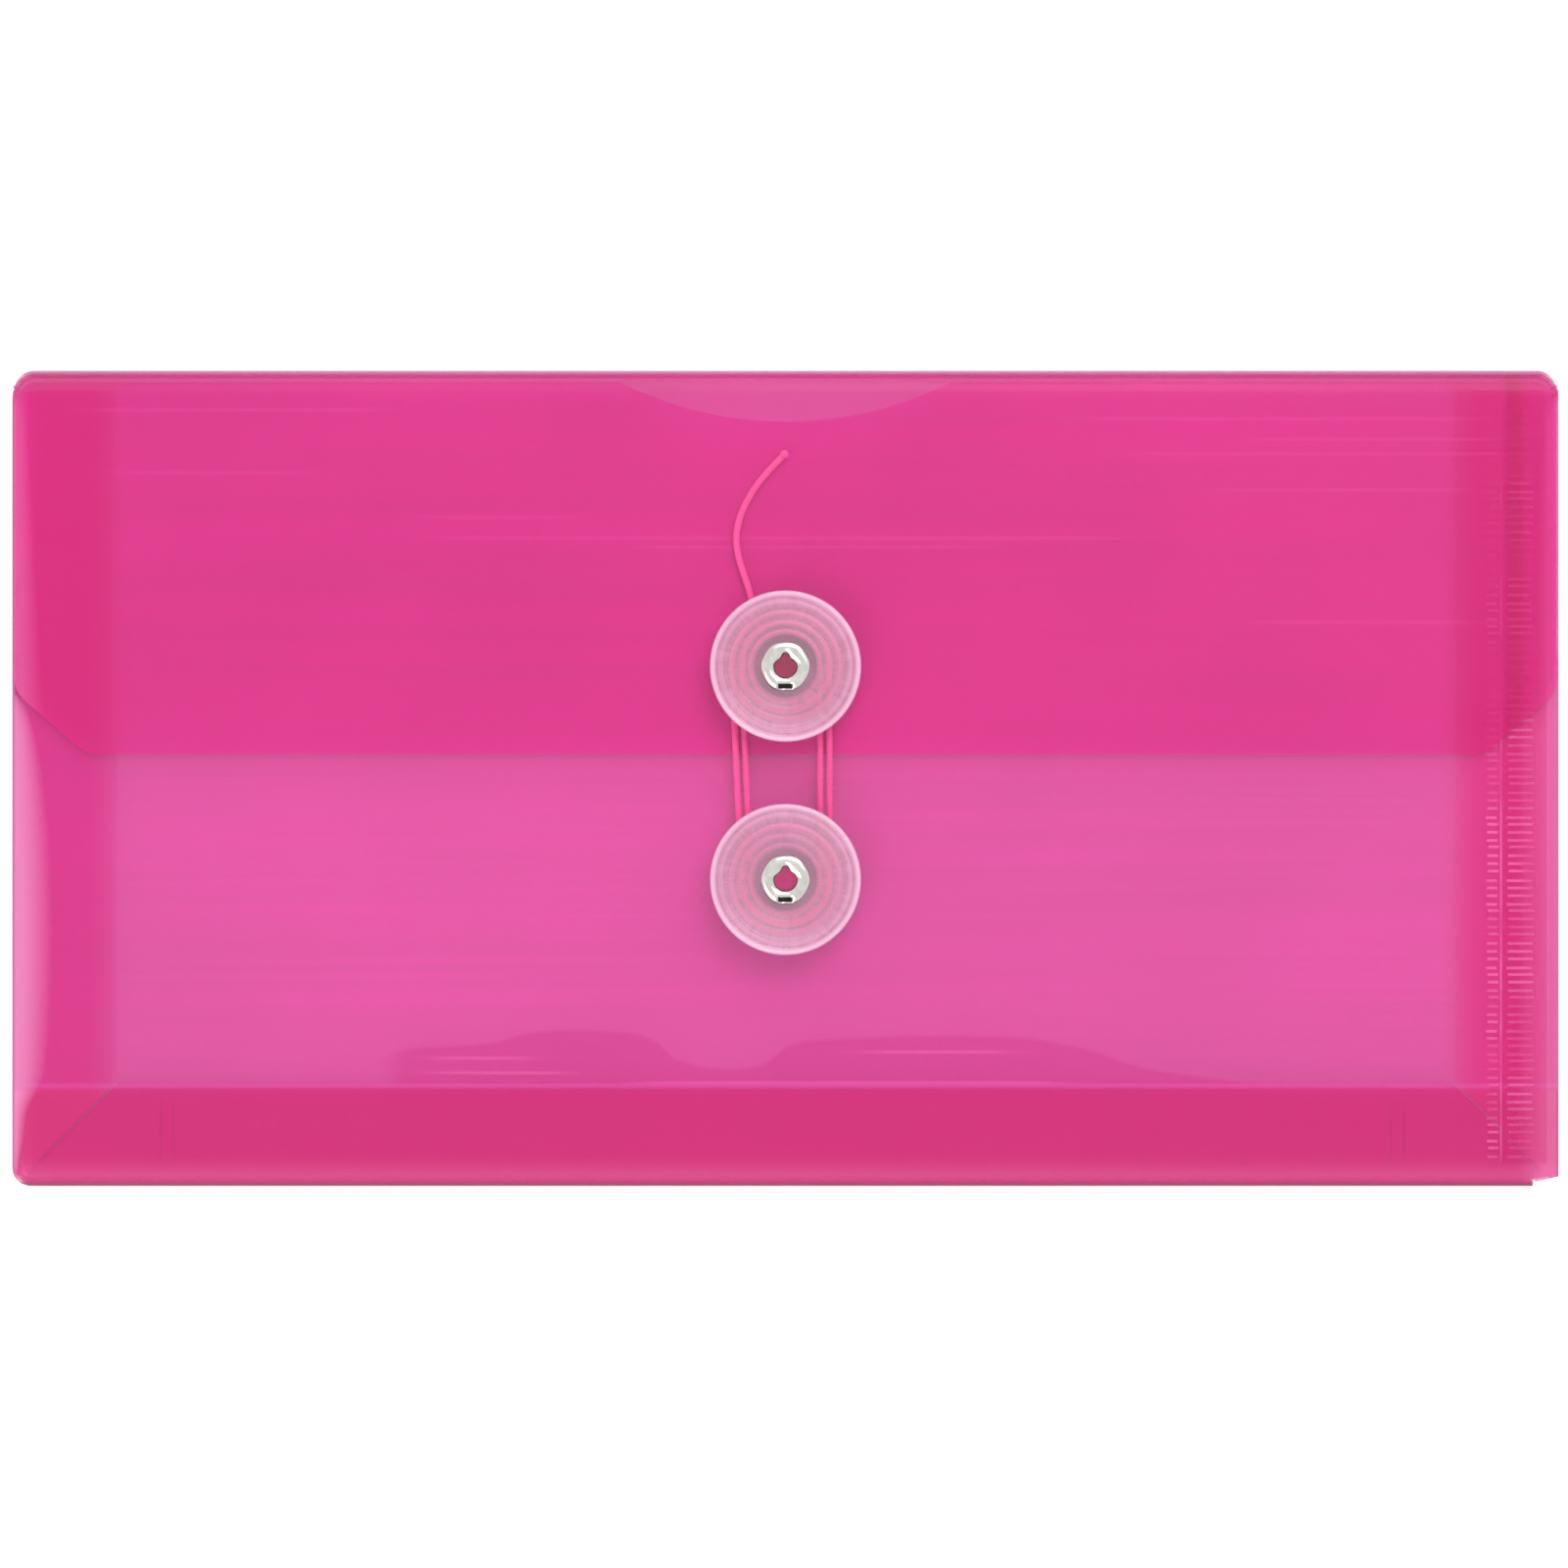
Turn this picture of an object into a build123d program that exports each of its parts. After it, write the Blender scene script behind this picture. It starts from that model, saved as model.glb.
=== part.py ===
from build123d import *
import math
import os

os.makedirs("parts", exist_ok=True)

# Sizes in millimetres. X runs along the envelope, +Y towards the flap's fold, +Z towards the flap side.
envelope_width = 254.0
envelope_height = 134.0
sheet_thickness = 0.45
fold_clearance = 0.15
crease_gap = 0.1
cut_overrun = 2.0

# Gussets, folded like a V between the back and the front
gusset_depth = 16.0
gusset_rest_angle = 6.5
mitre_gap = 0.35
side_crease_low_inset = 1.9
side_crease_top_inset = 3.2
bottom_crease_left_inset = 3.0
bottom_crease_right_inset = 4.3
inner_crease_gap = 0.3
panel_corner_radius = 1.0

# Mouth, thumb notch and flap
top_corner_radius = 3.0
front_top_inset = 2.0
gusset_top_inset = 2.6
notch_radius = 60.0
notch_depth = 6.5
flap_gap = 0.9
flap_length = 63.1
flap_side_inset = 0.4
flap_corner_width = 12.0
flap_corner_height = 10.4
flap_corner_radius = 5.0
wall_travel_down = 2.6
wall_travel_gap = 0.1

# Welded side tab
weld_inset = 9.5
weld_width = 7.5
weld_thickness = 0.25
weld_end_inset = 2.5

# Round buttons on eyelets
button_spacing = 34.9
flap_button_inset = 48.7
disc_radius = 12.4
disc_thickness = 1.1
rim_width = 0.8
rim_height = 0.35
rim_round = 0.25
boss_radius = 5.05
boss_height = 3.6
eyelet_hole_radius = 1.9
eyelet_wall = 0.3
eyelet_flange_radius = 4.0
eyelet_flange_thickness = 0.5
eyelet_flange_round = 0.2
eyelet_clinch_radius = 3.6
eyelet_clinch_thickness = 0.4
running_clearance = 0.05
button_end_play = 0.1
sheet_hole_clearance = 0.1

# String, wound twice round both buttons
string_diameter = 1.1
string_pitch = 1.55
string_boss_clearance = 0.1
string_sheet_clearance = 0.1
knot_radius = 1.15
knot_angle = -52.0
knot_clearance = 0.06
tail_angle = 150.0
tip_radius = 0.72

# The loose end lies on the flap, in millimetres from the flap button's centre.
tail_lead_out = 3.5
tail_route = [(-5.4, 11.1), (-7.9, 17.9), (-8.2, 21.9), (-7.1, 25.9), (-4.2, 30.8), (-0.2, 34.8)]
tail_bend_share = 0.45
gap_sample_step = 0.4
gap_skip_turns = 4

# Folds: a crease is a round rib on its fold axis, and each sheet lies to one side of that axis.
crease_radius = sheet_thickness + fold_clearance
sheet_offset = sheet_thickness / 2 + fold_clearance
crease_reach = crease_radius + crease_gap
fold_x = envelope_width / 2 - crease_radius
fold_low_y = -envelope_height / 2 + crease_radius
fold_top_y = envelope_height / 2 - crease_radius

# Levels, from the back sheet up
rest_angle = math.radians(gusset_rest_angle)
rear_axis_z = crease_radius
inner_inset = gusset_depth * math.cos(rest_angle) - 2 * sheet_offset * math.sin(rest_angle)
inner_rise = gusset_depth * math.sin(rest_angle) + 2 * sheet_offset * math.cos(rest_angle)
inner_axis_z = rear_axis_z + inner_rise
front_axis_z = inner_axis_z + inner_rise
front_low_z = front_axis_z + fold_clearance
front_top_z = front_low_z + sheet_thickness
flap_low_z = front_top_z + flap_gap
flap_top_z = flap_low_z + sheet_thickness
flap_axis_z = flap_low_z - fold_clearance

# Places of the mouth, the flap and the buttons
mouth_y = envelope_height / 2 - front_top_inset
gusset_top_y = envelope_height / 2 - gusset_top_inset
flap_low_y = envelope_height / 2 - flap_length
flap_button_y = envelope_height / 2 - flap_button_inset
front_button_y = flap_button_y - button_spacing
string_z = flap_top_z + string_sheet_clearance + string_diameter / 2
barrel_radius = eyelet_hole_radius + eyelet_wall
sheet_hole_radius = barrel_radius + sheet_hole_clearance

# Each gusset has a name, the middle of its outer fold, the way in from it and the way along it.
gussets = {
    "left": (Vector(-fold_x, 0, 0), Vector(1, 0, 0), Vector(0, 1, 0)),
    "right": (Vector(fold_x, 0, 0), Vector(-1, 0, 0), Vector(0, 1, 0)),
    "bottom": (Vector(0, fold_low_y, 0), Vector(0, 1, 0), Vector(1, 0, 0)),
}
up = Vector(0, 0, 1)
parts = {}


def sheet(points, low, thickness=sheet_thickness):
    """A flat plate on an outline of (x, y) points, standing on the level low."""
    face = make_face(Polyline(*[(x, y, low) for x, y in points], close=True))
    return extrude(face, amount=thickness, dir=(0, 0, 1))


def rectangle_points(x0, x1, y0, y1):
    return [(x0, y0), (x1, y0), (x1, y1), (x0, y1)]


def upright_edges(solid, y_side):
    """The corner edges of a plate that lie on one side of the middle in Y."""
    return [e for e in solid.edges().filter_by(Axis.Z) if e.center().Y * y_side > 0]


def rib(start, along, length):
    """A crease's round rib, from a point along a direction."""
    place = Plane(origin=start, z_dir=along)
    return place * Cylinder(crease_radius, length, align=(Align.CENTER, Align.CENTER, Align.MIN))


def hole(radius, y, low):
    """A round cutter through one sheet whose underside is at the level low."""
    depth = sheet_thickness + 2 * cut_overrun
    return Pos(0, y, low - cut_overrun) * Cylinder(
        radius, depth, align=(Align.CENTER, Align.CENTER, Align.MIN)
    )


def back_panel():
    side = fold_x - crease_reach
    plate = sheet(
        rectangle_points(-side, side, fold_low_y + crease_reach, fold_top_y - crease_reach), 0
    )
    plate = fillet(upright_edges(plate, 1), top_corner_radius)
    return fillet(upright_edges(plate, -1), panel_corner_radius)


def front_panel():
    side = fold_x - crease_reach
    plate = sheet(rectangle_points(-side, side, fold_low_y + crease_reach, mouth_y), front_low_z)
    plate = fillet(plate.edges().filter_by(Axis.Z), panel_corner_radius)
    notch = hole(notch_radius, mouth_y - notch_depth + notch_radius, front_low_z)
    return plate - notch - hole(sheet_hole_radius, front_button_y, front_low_z)


def flap_panel():
    """The flap, with slanted lower corners that are rounded where they meet the edges."""
    side = envelope_width / 2 - flap_side_inset
    top = fold_top_y - crease_reach
    slant_x = side - flap_corner_width
    slant_y = flap_low_y + flap_corner_height
    right_half = [(slant_x, flap_low_y), (side, slant_y), (side, top)]
    left_half = [(-x, y) for x, y in reversed(right_half)]
    plate = sheet(right_half + left_half, flap_low_z)
    low_corners = [e for e in plate.edges().filter_by(Axis.Z) if e.center().Y < flap_button_y]
    plate = fillet(low_corners, flap_corner_radius)
    top_corners = [e for e in plate.edges().filter_by(Axis.Z) if e.center().Y > top - crease_gap]
    plate = fillet(top_corners, top_corner_radius)
    return plate - hole(sheet_hole_radius, flap_button_y, flap_low_z)


def gusset_sheet(name):
    """The rear half of one gusset, cut to a mitre where it meets the next gusset."""
    middle, inward, along = gussets[name]
    slope = inward * math.cos(rest_angle) + up * math.sin(rest_angle)
    normal = up * math.cos(rest_angle) - inward * math.sin(rest_angle)
    base = middle + up * rear_axis_z + normal * fold_clearance
    near, far = crease_reach, gusset_depth - crease_reach
    if name == "bottom":
        ends = [
            (near, -fold_x + near + mitre_gap),
            (near, fold_x - near - mitre_gap),
            (far, fold_x - far - mitre_gap),
            (far, -fold_x + far + mitre_gap),
        ]
    else:
        ends = [
            (near, fold_low_y + near + mitre_gap),
            (near, gusset_top_y),
            (far, gusset_top_y),
            (far, fold_low_y + far + mitre_gap),
        ]
    corners = [base + slope * inset + along * place for inset, place in ends]
    return extrude(make_face(Polyline(*corners, close=True)), amount=sheet_thickness, dir=normal)


def gusset_creases(name):
    """The outer folds at the back and the front of one gusset and the inner fold between them."""
    middle, inward, along = gussets[name]
    if name == "bottom":
        low = -envelope_width / 2 + bottom_crease_left_inset
        high = envelope_width / 2 - bottom_crease_right_inset
        inner_end = fold_x - inner_inset - crease_radius - inner_crease_gap
        inner_low, inner_high = -inner_end, inner_end
    else:
        low = -envelope_height / 2 + side_crease_low_inset
        high = envelope_height / 2 - side_crease_top_inset
        inner_low = fold_low_y + inner_inset + crease_radius + inner_crease_gap
        inner_high = high
    inner = middle + inward * inner_inset + up * inner_axis_z
    return {
        "rear": rib(middle + up * rear_axis_z + along * low, along, high - low),
        "front": rib(middle + up * front_axis_z + along * low, along, high - low),
        "inner": rib(inner + along * inner_low, along, inner_high - inner_low),
    }


def flap_folds():
    """The flap's roll: a crease at the back sheet, a low and a high wall, and a crease at the flap."""
    side = envelope_width / 2 - top_corner_radius
    outer = fold_top_y + fold_clearance
    inner = fold_top_y - sheet_thickness
    base_low = rear_axis_z + crease_reach
    wall_low = base_low + wall_travel_down
    base_high = wall_low - wall_travel_gap
    wall_high = flap_axis_z - crease_reach
    base_outline = rectangle_points(-side, side, inner, inner + sheet_thickness)
    wall_outline = rectangle_points(-side, side, outer, outer + sheet_thickness)
    across = Vector(1, 0, 0)
    return {
        "flap_base": sheet(base_outline, base_low, base_high - base_low),
        "flap_wall": sheet(wall_outline, wall_low, wall_high - wall_low),
        "flap_base_crease": rib(Vector(-side, fold_top_y, rear_axis_z), across, 2 * side),
        "flap_top_crease": rib(Vector(-side, fold_top_y, flap_axis_z), across, 2 * side),
    }


def side_weld():
    outer = envelope_width / 2 - weld_inset + weld_width
    outline = rectangle_points(
        outer - weld_width,
        outer,
        fold_low_y + crease_reach + weld_end_inset,
        mouth_y - weld_end_inset,
    )
    return sheet(outline, front_top_z, weld_thickness)


def turned(points, y):
    """A ring turned about the upright axis of a button at y, from (radius, level) points."""
    face = make_face(Polyline(*[(radius, 0, level) for radius, level in points], close=True))
    return Pos(0, y, 0) * revolve(face, Axis.Z)


def button(y, sheet_top):
    """A moulded disc with a raised rim, on a boss that turns on its eyelet."""
    low = sheet_top + button_end_play
    under = low + boss_height
    face = under + disc_thickness
    rim = face + rim_height
    bore = barrel_radius + running_clearance
    ring = turned(
        [
            (bore, low),
            (boss_radius, low),
            (boss_radius, under),
            (disc_radius, under),
            (disc_radius, rim),
            (disc_radius - rim_width, rim),
            (disc_radius - rim_width, face),
            (bore, face),
        ],
        y,
    )
    circles = ring.edges().filter_by(GeomType.CIRCLE)
    return fillet([e for e in circles if e.radius > disc_radius - rim_width / 2], rim_round)


def eyelet(y, sheet_low, sheet_top):
    """A pressed metal eyelet that holds a button on its sheet, clinched under the sheet."""
    clinch = sheet_low - eyelet_clinch_thickness
    seat = sheet_top + 2 * button_end_play + boss_height + disc_thickness
    top = seat + eyelet_flange_thickness
    ring = turned(
        [
            (eyelet_hole_radius, clinch),
            (eyelet_clinch_radius, clinch),
            (eyelet_clinch_radius, sheet_low),
            (barrel_radius, sheet_low),
            (barrel_radius, seat),
            (eyelet_flange_radius, seat),
            (eyelet_flange_radius, top),
            (eyelet_hole_radius, top),
        ],
        y,
    )
    circles = ring.edges().filter_by(GeomType.CIRCLE)
    return fillet([e for e in circles if e.center().Z > seat + eyelet_flange_round], eyelet_flange_round)


def around(y, radius, angle):
    """A point of the string's plane, at an angle in degrees round the button at y."""
    turn = math.radians(angle)
    return Vector(radius * math.cos(turn), y + radius * math.sin(turn), string_z)


def turn_edges(y, radius, start, end):
    """Arcs of at most a quarter turn, clockwise from one angle to another."""
    count = math.ceil((start - end) / 90)
    steps = [start + (end - start) * n / count for n in range(count + 1)]
    return [
        ThreePointArc(around(y, radius, a), around(y, radius, (a + b) / 2), around(y, radius, b))
        for a, b in zip(steps, steps[1:])
    ]


def winding_path():
    """A tied turn round the flap button, then two long turns round both buttons, each outside the last."""
    first = boss_radius + string_boss_clearance + string_diameter / 2
    radii = [first + string_pitch * n for n in range(3)]
    lean = math.degrees(math.asin(string_pitch / button_spacing))
    left = 180 + lean
    edges = turn_edges(flap_button_y, radii[0], knot_start_angle(first), -360)
    for inner, outer in zip(radii, radii[1:]):
        edges.append(Line(around(flap_button_y, inner, 0), around(front_button_y, inner, 0)))
        edges += turn_edges(front_button_y, inner, 0, left - 360)
        edges.append(Line(around(front_button_y, inner, left), around(flap_button_y, outer, left)))
        last = tail_angle if outer == radii[-1] else 0
        edges += turn_edges(flap_button_y, outer, left, last)
    return Wire(edges)


def knot_place():
    radius = boss_radius + knot_clearance + knot_radius
    return around(flap_button_y, radius, knot_angle)


def knot_start_angle(radius):
    """The angle at which the tied turn starts, clear of the knot."""
    reach = knot_radius + knot_clearance
    centre = boss_radius + knot_clearance + knot_radius
    cosine = (radius**2 + centre**2 - reach**2) / (2 * radius * centre)
    return knot_angle - math.degrees(math.acos(cosine)) - math.degrees(string_diameter / 2 / radius)


def tail_path():
    start_radius = boss_radius + string_boss_clearance + string_diameter / 2 + 2 * string_pitch
    start = around(flap_button_y, start_radius, tail_angle)
    turn = math.radians(tail_angle)
    lead = start + Vector(math.sin(turn), -math.cos(turn), 0) * tail_lead_out
    route = [start, lead] + [Vector(x, flap_button_y + y, string_z) for x, y in tail_route]
    radii = []
    for before, here, after in zip(route, route[1:], route[2:]):
        run_in, run_out = here - before, after - here
        half_turn = math.radians(run_in.get_angle(run_out)) / 2
        radii.append(tail_bend_share * min(run_in.length, run_out.length) / math.tan(half_turn))
    print("tail radii", [round(radius, 1) for radius in radii])
    return FilletPolyline(*route, radius=radii)


def tube(path):
    section = Plane(path @ 0, z_dir=path % 0) * Circle(string_diameter / 2)
    return Solid.sweep(section.face(), path=path)


def bead(place, radius):
    """A ball on the string, lying on the flap under it."""
    level = flap_top_z + string_sheet_clearance + radius
    return Pos(place.X, place.Y, level) * Sphere(radius)


def print_string_facts(name, path, solid):
    section = math.pi * (string_diameter / 2) ** 2
    share = solid.volume / section / path.length
    print(name, "length", round(path.length, 1), "volume share", round(share, 4))


def print_least_gap(path):
    count = round(path.length / gap_sample_step)
    points = [path.position_at(n / count) for n in range(count + 1)]
    skip = round(gap_skip_turns * string_diameter / gap_sample_step)
    least = min(
        (points[n] - points[m]).length for n in range(len(points)) for m in range(n + skip, len(points))
    )
    print("winding's least gap to itself", round(least - string_diameter, 2))


parts["back_panel"] = back_panel()
parts["front_panel"] = front_panel()
parts["flap_panel"] = flap_panel()
parts.update(flap_folds())
for side_name in gussets:
    rear = gusset_sheet(side_name)
    parts[side_name + "_gusset_rear"] = rear
    parts[side_name + "_gusset_front"] = mirror(rear, about=Plane.XY.offset(inner_axis_z))
    for place, crease in gusset_creases(side_name).items():
        parts[side_name + "_" + place + "_crease"] = crease
parts["side_weld"] = side_weld()
parts["flap_button"] = button(flap_button_y, flap_top_z)
parts["front_button"] = button(front_button_y, front_top_z)
parts["flap_eyelet"] = eyelet(flap_button_y, flap_low_z, flap_top_z)
parts["front_eyelet"] = eyelet(front_button_y, front_low_z, front_top_z)

winding = winding_path()
tail = tail_path()
parts["string_winding"] = tube(winding)
parts["string_tail"] = tube(tail)
parts["string_knot"] = bead(knot_place(), knot_radius)
parts["string_tip"] = bead(tail @ 1, tip_radius)
print_string_facts("winding", winding, parts["string_winding"])
print_string_facts("tail", tail, parts["string_tail"])
print_least_gap(winding)

for node, solid in parts.items():
    export_step(solid, os.path.join("parts", node + ".step"))
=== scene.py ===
import math

import bmesh
import bpy
from mathutils import Matrix, Vector


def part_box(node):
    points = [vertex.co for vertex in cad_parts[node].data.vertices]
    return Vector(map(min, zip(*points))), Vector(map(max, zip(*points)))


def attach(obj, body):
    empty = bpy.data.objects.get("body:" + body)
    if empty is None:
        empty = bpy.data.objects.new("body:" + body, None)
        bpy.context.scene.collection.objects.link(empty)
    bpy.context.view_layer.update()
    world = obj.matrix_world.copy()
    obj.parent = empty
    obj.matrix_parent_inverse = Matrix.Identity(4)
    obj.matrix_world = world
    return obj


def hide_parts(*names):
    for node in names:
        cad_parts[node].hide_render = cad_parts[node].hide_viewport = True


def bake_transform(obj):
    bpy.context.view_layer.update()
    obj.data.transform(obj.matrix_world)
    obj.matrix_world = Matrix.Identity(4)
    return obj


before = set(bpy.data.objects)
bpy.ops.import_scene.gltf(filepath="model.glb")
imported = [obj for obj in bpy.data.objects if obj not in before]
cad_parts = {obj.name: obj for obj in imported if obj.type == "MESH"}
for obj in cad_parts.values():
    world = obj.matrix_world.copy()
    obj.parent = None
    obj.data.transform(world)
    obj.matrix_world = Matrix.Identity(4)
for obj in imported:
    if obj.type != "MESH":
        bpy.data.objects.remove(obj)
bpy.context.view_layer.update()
scene = bpy.context.scene
mm = 0.001
print("frame loaded with", len(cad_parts), "CAD nodes")

# the envelope's outline, fold lines and levels in millimetres, as the CAD has them
envelope = {
    "halfWidth": 127.0,
    "halfHeight": 67.0,
    "sheet": 0.45,
    "foldX": 126.4,
    "foldLowY": -66.4,
    "reach": 0.7,  # from a fold line to where its two sheets start
    "bend": 0.375,  # radius of the sheet's middle round a fold
    "rearZ": 0.6,
    "innerZ": 3.1564,
    "frontZ": 5.7129,
    "inset": 15.8122,  # from the outer folds in to the inner fold
    "lean": 6.5,  # slope of the gussets' sheets, in degrees
}
buttonY = {"flap": 18.3, "front": -16.6}


# node helpers

def plug(tree, value, socket):
    # a number, a colour or the output of another node
    if isinstance(value, tuple):
        socket.default_value = (*value, 1)
    elif isinstance(value, (int, float)):
        socket.default_value = value
    else:
        tree.links.new(value, socket)


def calc(tree, operation, *values):
    node = tree.nodes.new("ShaderNodeMath")
    node.operation = operation
    for value, socket in zip(values, node.inputs):
        plug(tree, value, socket)
    return node.outputs[0]


def times(tree, first, second):
    return calc(tree, "MULTIPLY", first, second)


def plus(tree, first, second):
    return calc(tree, "ADD", first, second)


def minus(tree, first, second):
    return calc(tree, "SUBTRACT", first, second)


def higher(tree, first, second):
    return calc(tree, "MAXIMUM", first, second)


def positive(tree, value):
    return calc(tree, "ABSOLUTE", value)


def away(tree, x, y):
    # distance from the middle
    return calc(tree, "SQRT", plus(tree, times(tree, x, x), times(tree, y, y)))


def fade(tree, value, low, high):
    # 0 at low, 1 at high, eased between them
    node = tree.nodes.new("ShaderNodeMapRange")
    node.interpolation_type = "SMOOTHSTEP"
    node.inputs["From Min"].default_value = low
    node.inputs["From Max"].default_value = high
    tree.links.new(value, node.inputs["Value"])
    return node.outputs["Result"]


def ramp(tree, depth, width, bulge=0.6):
    # 1 at the edge, 0 at the width, a little bulged between them
    share = minus(tree, 1, calc(tree, "DIVIDE", depth, higher(tree, width, 0.01)))
    share = higher(tree, share, 0)
    return times(tree, share, minus(tree, 1 + bulge, times(tree, share, bulge)))


def tintMix(tree, factor, first, second):
    node = tree.nodes.new("ShaderNodeMix")
    node.data_type = "RGBA"
    plug(tree, factor, node.inputs["Factor"])
    plug(tree, first, node.inputs[6])
    plug(tree, second, node.inputs[7])
    return node.outputs[2]


def noise(tree, place, stretch, detail=2.0):
    mapping = tree.nodes.new("ShaderNodeMapping")
    mapping.inputs["Scale"].default_value = stretch
    tree.links.new(place, mapping.inputs["Vector"])
    node = tree.nodes.new("ShaderNodeTexNoise")
    node.inputs["Scale"].default_value = 1.0
    node.inputs["Detail"].default_value = detail
    tree.links.new(mapping.outputs["Vector"], node.inputs["Vector"])
    return node.outputs["Fac"]


def millimetres(tree, place):
    parts = tree.nodes.new("ShaderNodeSeparateXYZ")
    tree.links.new(place, parts.inputs[0])
    return times(tree, parts.outputs["X"], 1 / mm), times(tree, parts.outputs["Y"], 1 / mm)


def startMaterial(name):
    material = bpy.data.materials.new(name)
    material.use_nodes = True
    tree = material.node_tree
    shader = tree.nodes["Principled BSDF"]
    place = tree.nodes.new("ShaderNodeTexCoord").outputs["Object"]
    return material, tree, shader, place


def addBump(tree, shader, height, strength, distance):
    bump = tree.nodes.new("ShaderNodeBump")
    bump.inputs["Strength"].default_value = strength
    bump.inputs["Distance"].default_value = distance
    tree.links.new(height, bump.inputs["Height"])
    tree.links.new(bump.outputs["Normal"], shader.inputs["Normal"])


def startGroup(name, labels):
    # a group reads a place on the surface and puts out one value for each label
    group = bpy.data.node_groups.new(name, "ShaderNodeTree")
    group.interface.new_socket(name="Place", in_out="INPUT", socket_type="NodeSocketVector")
    for label in labels:
        group.interface.new_socket(name=label, in_out="OUTPUT", socket_type="NodeSocketFloat")
    inside, outside = group.nodes.new("NodeGroupInput"), group.nodes.new("NodeGroupOutput")
    return group, inside.outputs["Place"], outside.inputs


def placeGroup(tree, group, place):
    node = tree.nodes.new("ShaderNodeGroup")
    node.node_tree = group
    tree.links.new(place, node.inputs["Place"])
    return node.outputs


# the extruded sheet's own marks: fine lines along it, and a slow cloudiness
filmGrain = {
    "fine": (9, 900, 9),  # how dense the marks are along X, Y and Z
    "wide": (5, 210, 5),
    "cloud": (20, 20, 20),
    "lineLimits": (0.38, 0.64),
    "cloudLimits": (0.3, 0.7),
}


def buildFilmMarks():
    group, place, outside = startGroup("filmMarks", ("Lines", "Shade"))
    both = plus(group, noise(group, place, filmGrain["fine"]), noise(group, place, filmGrain["wide"]))
    lines = fade(group, times(group, both, 0.5), *filmGrain["lineLimits"])
    cloud = fade(group, noise(group, place, filmGrain["cloud"]), *filmGrain["cloudLimits"])
    group.links.new(lines, outside["Lines"])
    group.links.new(times(group, plus(group, lines, cloud), 0.5), outside["Shade"])
    return group


# painted highlight makes the edge paler where the pocket bulges and the sheets stand apart, and along the
# low fold and the ledge;
# painted shade deepens the sheets over the gussets, in the corners and along the mitre, and draws the
# outline and the crest as thin dark lines; a pair is where a mark starts and where it is full
edgeShape = {
    "lensMiddle": -26,
    "lensHalfLength": 40,
    "lensFoot": (-56, -48),
    "leftLens": 6.8,  # the lens's width
    "rightLens": 7.0,
    "rightLensTop": (22, 8),
    "rightLensShare": 0.5,
    "rimWidth": 5.9,
    "rimTaper": 0.056,
    "rimLoss": (-60, 60, 0.65),  # from x, to x, how much weaker there
    "outlineLow": (1.0, 0.35),
    "outlineSide": (0.7, 0.05),
    "outlineSideShare": 0.6,
    "crest": (65.9, 66.8),
    "stripTop": (-62.0, -64.8),
    "stripLow": (-67.0, -66.1),
    "band": (-50.7, -52.0),
    "flankInner": (19.5, 14.5),
    "flankOuter": (1.2, 5.0),
    "sideInner": (107.5, 111.5),
    "sideOuter": (126.5, 123.0),
    "seamInner": (117.8, 118.6),
    "seamOuter": (121.6, 120.2),
    "corner": (-0.4, 0.4),
    "mitreShade": (0.7, 0.12),
    "mitreShift": 0.2,
    "mitreTop": (16.8, 15.5),
    "mitreLoss": (-100, 100, 0.55),
    "ledgeLow": (-51.2, -50.7),
    "ledgeTop": (-49.9, -50.4),
    "lowPart": (-34, -50),
}


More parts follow.
